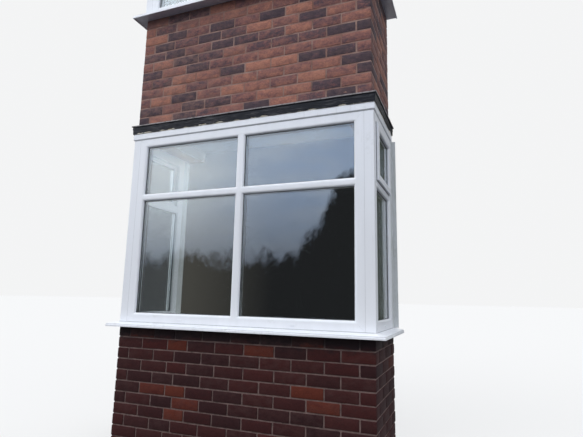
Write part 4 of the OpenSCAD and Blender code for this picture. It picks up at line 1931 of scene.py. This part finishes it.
@dataclass
class Roof:
    """Slates, boards, lead and the gutter's brackets."""

    palette: Palette
    layer: Layer
    fixings: FixingTree
    slate_width: float = 0.247
    slate_length: float = 0.42
    slate_thickness: float = 0.006
    gauge: float = 0.178
    cover: float = 0.0225
    slate_joint: float = 0.0035
    first_slate: float = 0.235
    shortest_slate: float = 0.05
    boards_top: float = 0.0185
    board_width: float = 0.1
    board_gap: float = 0.0025
    board_length: float = 1.397
    board_thickness: float = 0.0178
    board_lift: float = 0.0092
    wing_lift: float = 0.0505
    wing_steps: int = 26
    strap_inner: float = 0.0563
    strap_outer: float = 0.0595
    strap_half: float = 0.014
    strap_start: float = 0.37
    gutter_centre: float = 0.056
    edge_z: float = BAY.fascia_top + (BAY.eaves_out - BAY.slate_edge) * math.tan(BAY.pitch)
    run: float = BAY.depth + BAY.slate_edge

    def slope_spot(self, side: Side, across: float, up_slope: float, lift: float) -> Vector:
        """Find a point on a slope.

        Args:
            side: which slope.
            across: distance from the middle of the slope's own side.
            up_slope: distance up the slope from the slates' edge.
            lift: height square to the underside of the boards.

        Returns:
            The point in the part's frame.
        """
        run = up_slope * math.cos(BAY.pitch) - lift * math.sin(BAY.pitch)
        z = self.edge_z + up_slope * math.sin(BAY.pitch) + lift * math.cos(BAY.pitch)
        out = BAY.slate_edge - run
        if side is Side.FRONT:
            return Vector((across, BAY.front - out, z))
        return Vector((side.hand * (BAY.half_width + out), across, z))

    def trim_to_slope(self, piece: bpy.types.Object, side: Side, gap: float) -> bpy.types.Mesh:
        """Cut a slope's blocks off at the hips and at the back.

        Args:
            piece: the laid blocks; the object is removed.
            side: which slope.
            gap: distance kept from the hip.

        Returns:
            The cut mesh.
        """
        maker = Maker("slope")
        maker.mesh.from_mesh(piece.data)
        bpy.data.objects.remove(piece)
        for hip in RETURNS:
            sign = hip.hand
            outward = Vector((sign, 1.0, 0.0)).normalized()
            corner = Vector((sign * (BAY.half_width + BAY.slate_edge), BAY.front - BAY.slate_edge, 0.0))
            if side is Side.FRONT:
                maker.cut(corner - outward * gap, outward)
            elif side is hip:
                maker.cut(corner + outward * gap, -outward)
        maker.cut((0.0, BAY.back, 0.0), (0.0, 1.0, 0.0))
        return maker.give()

    def slates_of(self, side: Side, rng: random.Random) -> list[Block]:
        """Lay out the slates of one slope, the short first course under them.

        Args:
            side: which slope.
            rng: random values for their places and tones.

        Returns:
            The slates.
        """
        lean = math.atan((self.cover - self.slate_thickness) / self.slate_length)
        turn = (BAY.pitch - lean, 0.0, side.turn[2])
        blocks: list[Block] = []
        for row, tail in enumerate([-0.001] + [i * self.gauge for i in range(6)]):
            top = self.cover
            length = min(self.slate_length, self.run / math.cos(BAY.pitch) - tail + 0.03)
            if row == 0:
                length, top = self.first_slate, self.cover - self.slate_thickness - 0.0012
            if length < self.shortest_slate:
                continue
            middle = tail + length / 2 * math.cos(lean)
            lift = self.boards_top + top - self.slate_thickness / 2 - length / 2 * math.sin(lean)
            offset = (0.0 if row % 2 else self.slate_width / 2) + (0.08 if side.hand else 0.0)
            size = (self.slate_width - self.slate_joint, length, self.slate_thickness)
            for i in range(-6, 7):
                across = i * self.slate_width + offset + rng.uniform(-0.0012, 0.0012)
                spot = self.slope_spot(side, across, middle + rng.uniform(-0.002, 0.002), lift)
                blocks.append(Block(tuple(spot), size, rng.random(), 0.0, turn))
        return blocks

    def boards_of(self, side: Side, rng: random.Random) -> list[Block]:
        """Lay out the boards under the slates of one slope.

        Args:
            side: which slope.
            rng: random values for their tones.

        Returns:
            The boards.
        """
        blocks: list[Block] = []
        start = (BAY.slate_edge - BAY.eaves_out) / math.cos(BAY.pitch)
        size = (self.board_length, self.board_width - self.board_gap, self.board_thickness)
        for row in range(int((self.run / math.cos(BAY.pitch) - start) / self.board_width) + 1):
            for part in (-1.0, 1.0):
                across = part * 0.7 + (0.12 if row % 2 else -0.1)
                spot = self.slope_spot(side, across, start + (row + 0.5) * self.board_width, self.board_lift)
                blocks.append(Block(tuple(spot), size, rng.random(), 0.0, (BAY.pitch, 0.0, side.turn[2])))
        return blocks

    def cover_slopes(self) -> None:
        """Make the slates and the boards on all three slopes."""
        rng = random.Random(21)
        palette = self.palette
        for name, rows, finish, node, rounding, rough, gap in (
            ("roof_slating", self.slates_of, palette.slate, "roof_slates", 0.0013, 0.0008, 0.0008),
            ("roof_boarding", self.boards_of, palette.boards, "roof_boards", 0.001, 0.0003, 0.002),
        ):
            whole = Maker(name)
            for side in Side:
                part = f"{name}_{side.value}"
                laid = self.layer.lay(part, rows(side, rng), finish, rounding, rough, 18.0, seed=4)
                whole.take(self.trim_to_slope(laid, side, gap))
            hand_over(whole.finish(40.0), finish, [node])

    def hip_wings(self) -> None:
        """Dress a strip of lead over the slates on both sides of each hip."""
        maker = Maker("hip_lead_wings")
        plan, steps = self.run - 0.003, self.wing_steps
        section = ((0.012, 0.0), (0.14, 0.0), (0.1405, -0.0022), (0.012, -0.0025))
        for hand in (1.0, -1.0):
            for flip in (False, True):
                rings = []
                for i in range(steps + 1):
                    t = plan * i / steps
                    ring = []
                    for across, lift in section:
                        wave = 0.0012 * noise.noise(Vector((t * 11.0, across * 9.0, hand * 3.0 + flip)))
                        x_in = t + (0.0 if flip else across * 1.15)
                        y_in = min(t + (across * 1.15 if flip else 0.0), plan)
                        z = self.edge_z + min(x_in, y_in) * math.tan(BAY.pitch) + self.wing_lift + lift + wave
                        x = hand * (BAY.half_width + BAY.slate_edge - x_in)
                        ring.append(Vector((x, BAY.front - BAY.slate_edge + y_in, z)))
                    rings.append(ring)
                maker.loft(rings)
        hand_over(maker.finish(40.0), self.palette.lead)

    def bracket(self) -> bpy.types.Object:
        """Make a gutter bracket: a half-round strap with a back plate, face to -y.

        Returns:
            The part.
        """
        maker = Maker("bracket_part")
        rings, steps = [], 16
        inner, outer, half, middle = self.strap_inner, self.strap_outer, self.strap_half, -self.gutter_centre
        edges = ((inner, -half), (outer, -half), (outer, half), (inner, half))
        for i in range(steps + 1):
            angle = math.pi + self.strap_start + (math.pi - self.strap_start) * i / steps
            rings.append([Vector((x, middle + r * math.cos(angle), r * math.sin(angle))) for r, x in edges])
        maker.loft(rings)
        maker.box((-0.016, -0.003, -0.045), (0.016, 0.0, 0.022))
        maker.box((-0.014, -0.1118, -0.006), (0.014, -0.1062, -0.0001))
        return maker.finish()

    def brackets(self) -> None:
        """Put brackets along the gutter."""
        spots = []
        for side in (Side.FRONT, *RETURNS):
            places = (-0.02, 0.32, 0.62) if side.hand else (-1.05, -0.52, 0.0, 0.52, 1.05)
            spots += [(side.spot(along, -BAY.eaves_out, BAY.gutter_rim), side) for along in places]
        self.fixings.fix("gutter_brackets", self.bracket(), spots, self.palette.gutter)

    def build(self) -> None:
        """Make every roof piece."""
        self.cover_slopes()
        self.hip_wings()
        self.brackets()


# Inside, and the nodes that stay


def floor_boarding(layer: Layer, palette: Palette) -> None:
    """Lay the first floor's boards, with staggered ends.

    Args:
        layer: lays the boards.
        palette: has their finish.
    """
    low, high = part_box("floor_boards")
    rng = random.Random(31)
    blocks: list[Block] = []
    width = (high.y - low.y) / 4
    for row, joint in enumerate((-0.25, 0.3, 0.02, -0.4)):
        for start, end in ((low.x, joint - 0.001), (joint + 0.001, high.x)):
            centre = ((start + end) / 2, low.y + (row + 0.5) * width, (low.z + high.z) / 2)
            blocks.append(Block(centre, (end - start, width - 0.002, high.z - low.z), rng.random()))
    piece = layer.lay("first_floor_boarding", blocks, palette.boards, 0.0015, 0.0002, seed=6)
    hand_over(piece, palette.boards, ["floor_boards"])


def paint_nodes(nodes: dict[str, bpy.types.Object], palette: Palette) -> None:
    """Give the CAD nodes that stay their finishes.

    Args:
        nodes: the CAD nodes by name.
        palette: the finishes.
    """
    for name, finish in (
        ("ground_floor", palette.concrete), ("wall_plaster", palette.plaster), ("ceilings", palette.ceiling),
        ("floor_joists", palette.joists), ("head_beams", palette.joists), ("roof_timbers", palette.rafters),
        ("roof_leadwork", palette.lead), ("gutter", palette.gutter), ("eaves_boards", palette.trim),
    ):
        paint(nodes[name], finish)


# Stage


def looked_at(graph: Graph) -> Value:
    """One for rays from the camera and through or off a smooth surface, none for light's own."""
    path = graph.add("ShaderNodeLightPath")
    return path["Is Camera Ray"].most(path["Is Glossy Ray"]).most(path["Is Transmission Ray"])


@dataclass(frozen=True)
class PaleFloor(Finish):
    """Plain floor that looks pale, keeps the shadow and throws little light back up."""

    seen: Colour = (0.86, 0.865, 0.87)
    matt: Colour = (0.75, 0.75, 0.75)
    bounce: Colour = (0.032, 0.034, 0.044)

    def shader(self, graph: Graph) -> Value:
        """Show the pale floor to rays that look, and a dim one to light.

        Args:
            graph: where the nodes go.

        Returns:
            The shader.
        """
        glow = graph.add("ShaderNodeEmission", {"Color": self.seen, "Strength": 1.0})
        matt = graph.add("ShaderNodeBsdfDiffuse", {"Color": self.matt})
        pale = graph.add("ShaderNodeMixShader", {0: 0.3, 1: glow, 2: matt})
        dim = graph.add("ShaderNodeBsdfDiffuse", {"Color": self.bounce})
        return graph.add("ShaderNodeMixShader", {0: looked_at(graph), 1: dim, 2: pale})


@dataclass(frozen=True)
class SkyCard(Finish):
    """A tall card that gives the panes a soft cloudy sky to mirror, dark below."""

    low: Colour = (0.03, 0.034, 0.036)
    left: Colour = (2.75, 3.0, 3.35)
    right: Colour = (1.55, 1.95, 2.75)
    veil: Colour = (3.3, 3.4, 3.5)
    deep: Colour = (1.3, 1.6, 2.2)
    haze: Colour = (0.62, 0.72, 0.95)
    left_x: float = -10.5
    right_x: float = -5.0
    bank_low: float = 2.7
    bank_high: float = 5.8
    bank_from: float = -4.7
    bank_to: float = -2.9

    def shader(self, graph: Graph) -> Value:
        """Paint clouds over a ragged dark bank, seen only by rays that a smooth surface threw back.

        Args:
            graph: where the nodes go.

        Returns:
            The shader.
        """
        place = graph.place()
        x, z = graph.axis(place, 0), graph.axis(place, 2)
        ragged = graph.noise(graph.stretched(place, (1.1, 1.0, 0.7)), 1.3, 6.0, 0.68)
        cloud = graph.noise(graph.stretched(place, (0.13, 1.0, 0.5)), 1.7, 5.0, 0.6)
        bank = graph.span(x, self.bank_from, self.bank_to, self.bank_low, self.bank_high)
        height = z + (ragged - 0.5) * 2.6 - bank
        sky = graph.mix(graph.span(x, self.left_x, self.right_x), self.left, self.right)
        veiled = graph.mix(graph.span(cloud, 0.42, 0.7, 0.0, 0.45), sky, self.veil)
        deep = graph.mix(graph.span(cloud, 0.28, 0.45, 0.35, 0.0), veiled, self.deep)
        haze = graph.mix(graph.span(z, 2.4, 6.3), self.haze, deep)
        glow = graph.mix(graph.span(height, -0.2, 0.4), self.low, haze)
        light = graph.add("ShaderNodeEmission", {"Color": glow, "Strength": 1.0})
        depth = graph.add("ShaderNodeLightPath")["Glossy Depth"]
        mirrored, clear = depth.math("GREATER_THAN", depth, 0.5), graph.add("ShaderNodeBsdfTransparent")
        return graph.add("ShaderNodeMixShader", {0: mirrored, 1: clear, 2: light})


@dataclass(frozen=True)
class DimCard(Finish):
    """A card in one dim tone that changes a little from one end to the other."""

    # These default tones serve the room card, which paints the shade of the unlit room.
    start_tone: Colour = (0.07, 0.064, 0.056)
    end_tone: Colour = (0.012, 0.012, 0.013)

    def shader(self, graph: Graph) -> Value:
        """Glow in the two tones, the first at the left.

        Args:
            graph: where the nodes go.

        Returns:
            The shader.
        """
        across = graph.span(graph.axis(graph.place(), 0), -1.3, -0.3)
        tone = graph.mix(across, self.start_tone, self.end_tone)
        return graph.add("ShaderNodeEmission", {"Color": tone, "Strength": 1.0})


@dataclass
class Studio:
    """Floor, cards, lamps, world and camera; facing is its turn about x, y and z in degrees."""

    floor_half: float = 150.0
    card_y: float = -14.0
    key: float = 1.3
    fill: float = 0.32
    back: float = 0.45
    air: float = 0.86
    lens: float = 27.83
    stand: Point = (1.6217, -3.1988, 1.1541)
    facing: Point = (100.0283, -1.1695, 21.5503)

    def floor(self) -> None:
        """Lay the pale floor."""
        maker, half = Maker("studio_floor"), self.floor_half
        maker.box((-half, -half, -0.02), (half, half, 0.0))
        piece = maker.finish()
        piece.data.materials.append(PaleFloor("studio_floor_paint").material)

    def card(
        self, finish: Finish, ends: tuple[float, float], y: float, top: float, rays: Sequence[str]
    ) -> None:
        """Hang a card, square to y, that only some rays see.

        Args:
            finish: its glow, which also names it.
            ends: x of its two edges.
            y: where it hangs.
            top: its height.
            rays: the kinds of ray that see it.
        """
        data = bpy.data.meshes.new(finish.name)
        (near, far), low = ends, -1.0
        data.from_pydata([(near, y, low), (far, y, low), (far, y, top), (near, y, top)], [], [(0, 1, 2, 3)])
        data.materials.append(finish.material)
        piece = add_object(finish.name, data)
        for ray in ("camera", "diffuse", "glossy", "transmission", "shadow", "volume_scatter"):
            setattr(piece, f"visible_{ray}", ray in rays)

    def cards(self) -> None:
        """Hang the sky card before the bay, a dim card behind it that paints the shade of the unlit room seen
        through the glass, and a dim card on each side.
        """
        both = ("glossy", "transmission")
        self.card(SkyCard("sky_card"), (-40.0, 40.0), self.card_y, 30.0, both)
        # Painted shade: a dim card that only rays through the glass see, in place of the unlit room.
        self.card(DimCard("room_card"), (-5.0, 5.0), 1.1, 7.0, ("transmission",))
        for name, ends, start_tone, end_tone in (
            ("right_card", (1.08, 1.3), (0.05, 0.058, 0.04), (0.04, 0.048, 0.034)),
            ("left_card", (-1.75, -1.08), (0.010, 0.012, 0.016), (0.012, 0.014, 0.018)),
        ):
            finish = DimCard(name, start_tone=start_tone, end_tone=end_tone)
            self.card(finish, ends, 0.6, 8.0, both)

    def lamps(self) -> None:
        """Hang soft lamps far away."""
        for name, place, energy, spread in (
            ("key_lamp", (-0.55, -1.0, 1.05), self.key, 50.0),
            ("fill_lamp", (1.0, -0.55, 0.6), self.fill, 70.0),
            ("back_lamp", (0.3, 1.0, 0.7), self.back, 70.0),
        ):
            data = bpy.data.lights.new(name, "SUN")
            data.energy = energy
            data.angle = math.radians(spread)
            lamp = add_object(name, data)
            lamp.location = Vector(place) * 10.0
            lamp.rotation_euler = (-Vector(place)).to_track_quat("-Z", "Y").to_euler()
            lamp.visible_glossy = False

    def world(self) -> None:
        """Set a pale background and an even soft light that grows towards the top."""
        world = bpy.data.worlds.new("studio_world")
        world.use_nodes = True
        bpy.context.scene.world = world
        graph = Graph(world.node_tree)
        rise = graph.axis(graph.add("ShaderNodeTexCoord")["Generated"], 2)
        strength = graph.span(rise, 0.0, 1.0, self.air * 0.75, self.air * 1.6)
        shown = graph.add("ShaderNodeBackground", {"Color": (0.9, 0.905, 0.91), "Strength": 1.0})
        lit = graph.add("ShaderNodeBackground", {"Color": (0.93, 0.96, 1.0), "Strength": strength})
        both = graph.add("ShaderNodeMixShader", {0: looked_at(graph), 1: lit, 2: shown})
        graph.add("ShaderNodeOutputWorld", {0: both})

    def camera(self) -> None:
        """Stand the camera where the photograph was taken."""
        data = bpy.data.cameras.new("camera")
        data.sensor_width = 36.0
        data.sensor_fit = "HORIZONTAL"
        data.lens = self.lens
        camera = add_object("camera", data)
        camera.location = self.stand
        camera.rotation_euler = [math.radians(angle) for angle in self.facing]
        bpy.context.scene.camera = camera

    def build(self) -> None:
        """Set up the whole studio."""
        self.floor()
        self.cards()
        self.lamps()
        self.world()
        self.camera()
        bpy.context.scene.view_settings.view_transform = "Standard"


def main() -> None:
    """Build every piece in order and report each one."""
    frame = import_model()
    nodes = frame["nodes"]
    palette = Palette()
    layer, beads, fixings = Layer(), BeadTree(), FixingTree()
    Studio().build()
    base_brickwork().build(layer, palette.base_brick, palette.base_mortar)
    spandrel_brickwork().build(layer, palette.spandrel_brick, palette.spandrel_mortar)
    for storey in Storey:
        Window(storey, palette, beads).build(nodes)
    Fittings(palette, fixings).build()
    Flashing(palette, beads).build()
    Roof(palette, layer, fixings).build()
    floor_boarding(layer, palette)
    paint_nodes(nodes, palette)
    layer.clear()


if __name__ == "__main__":
    main()
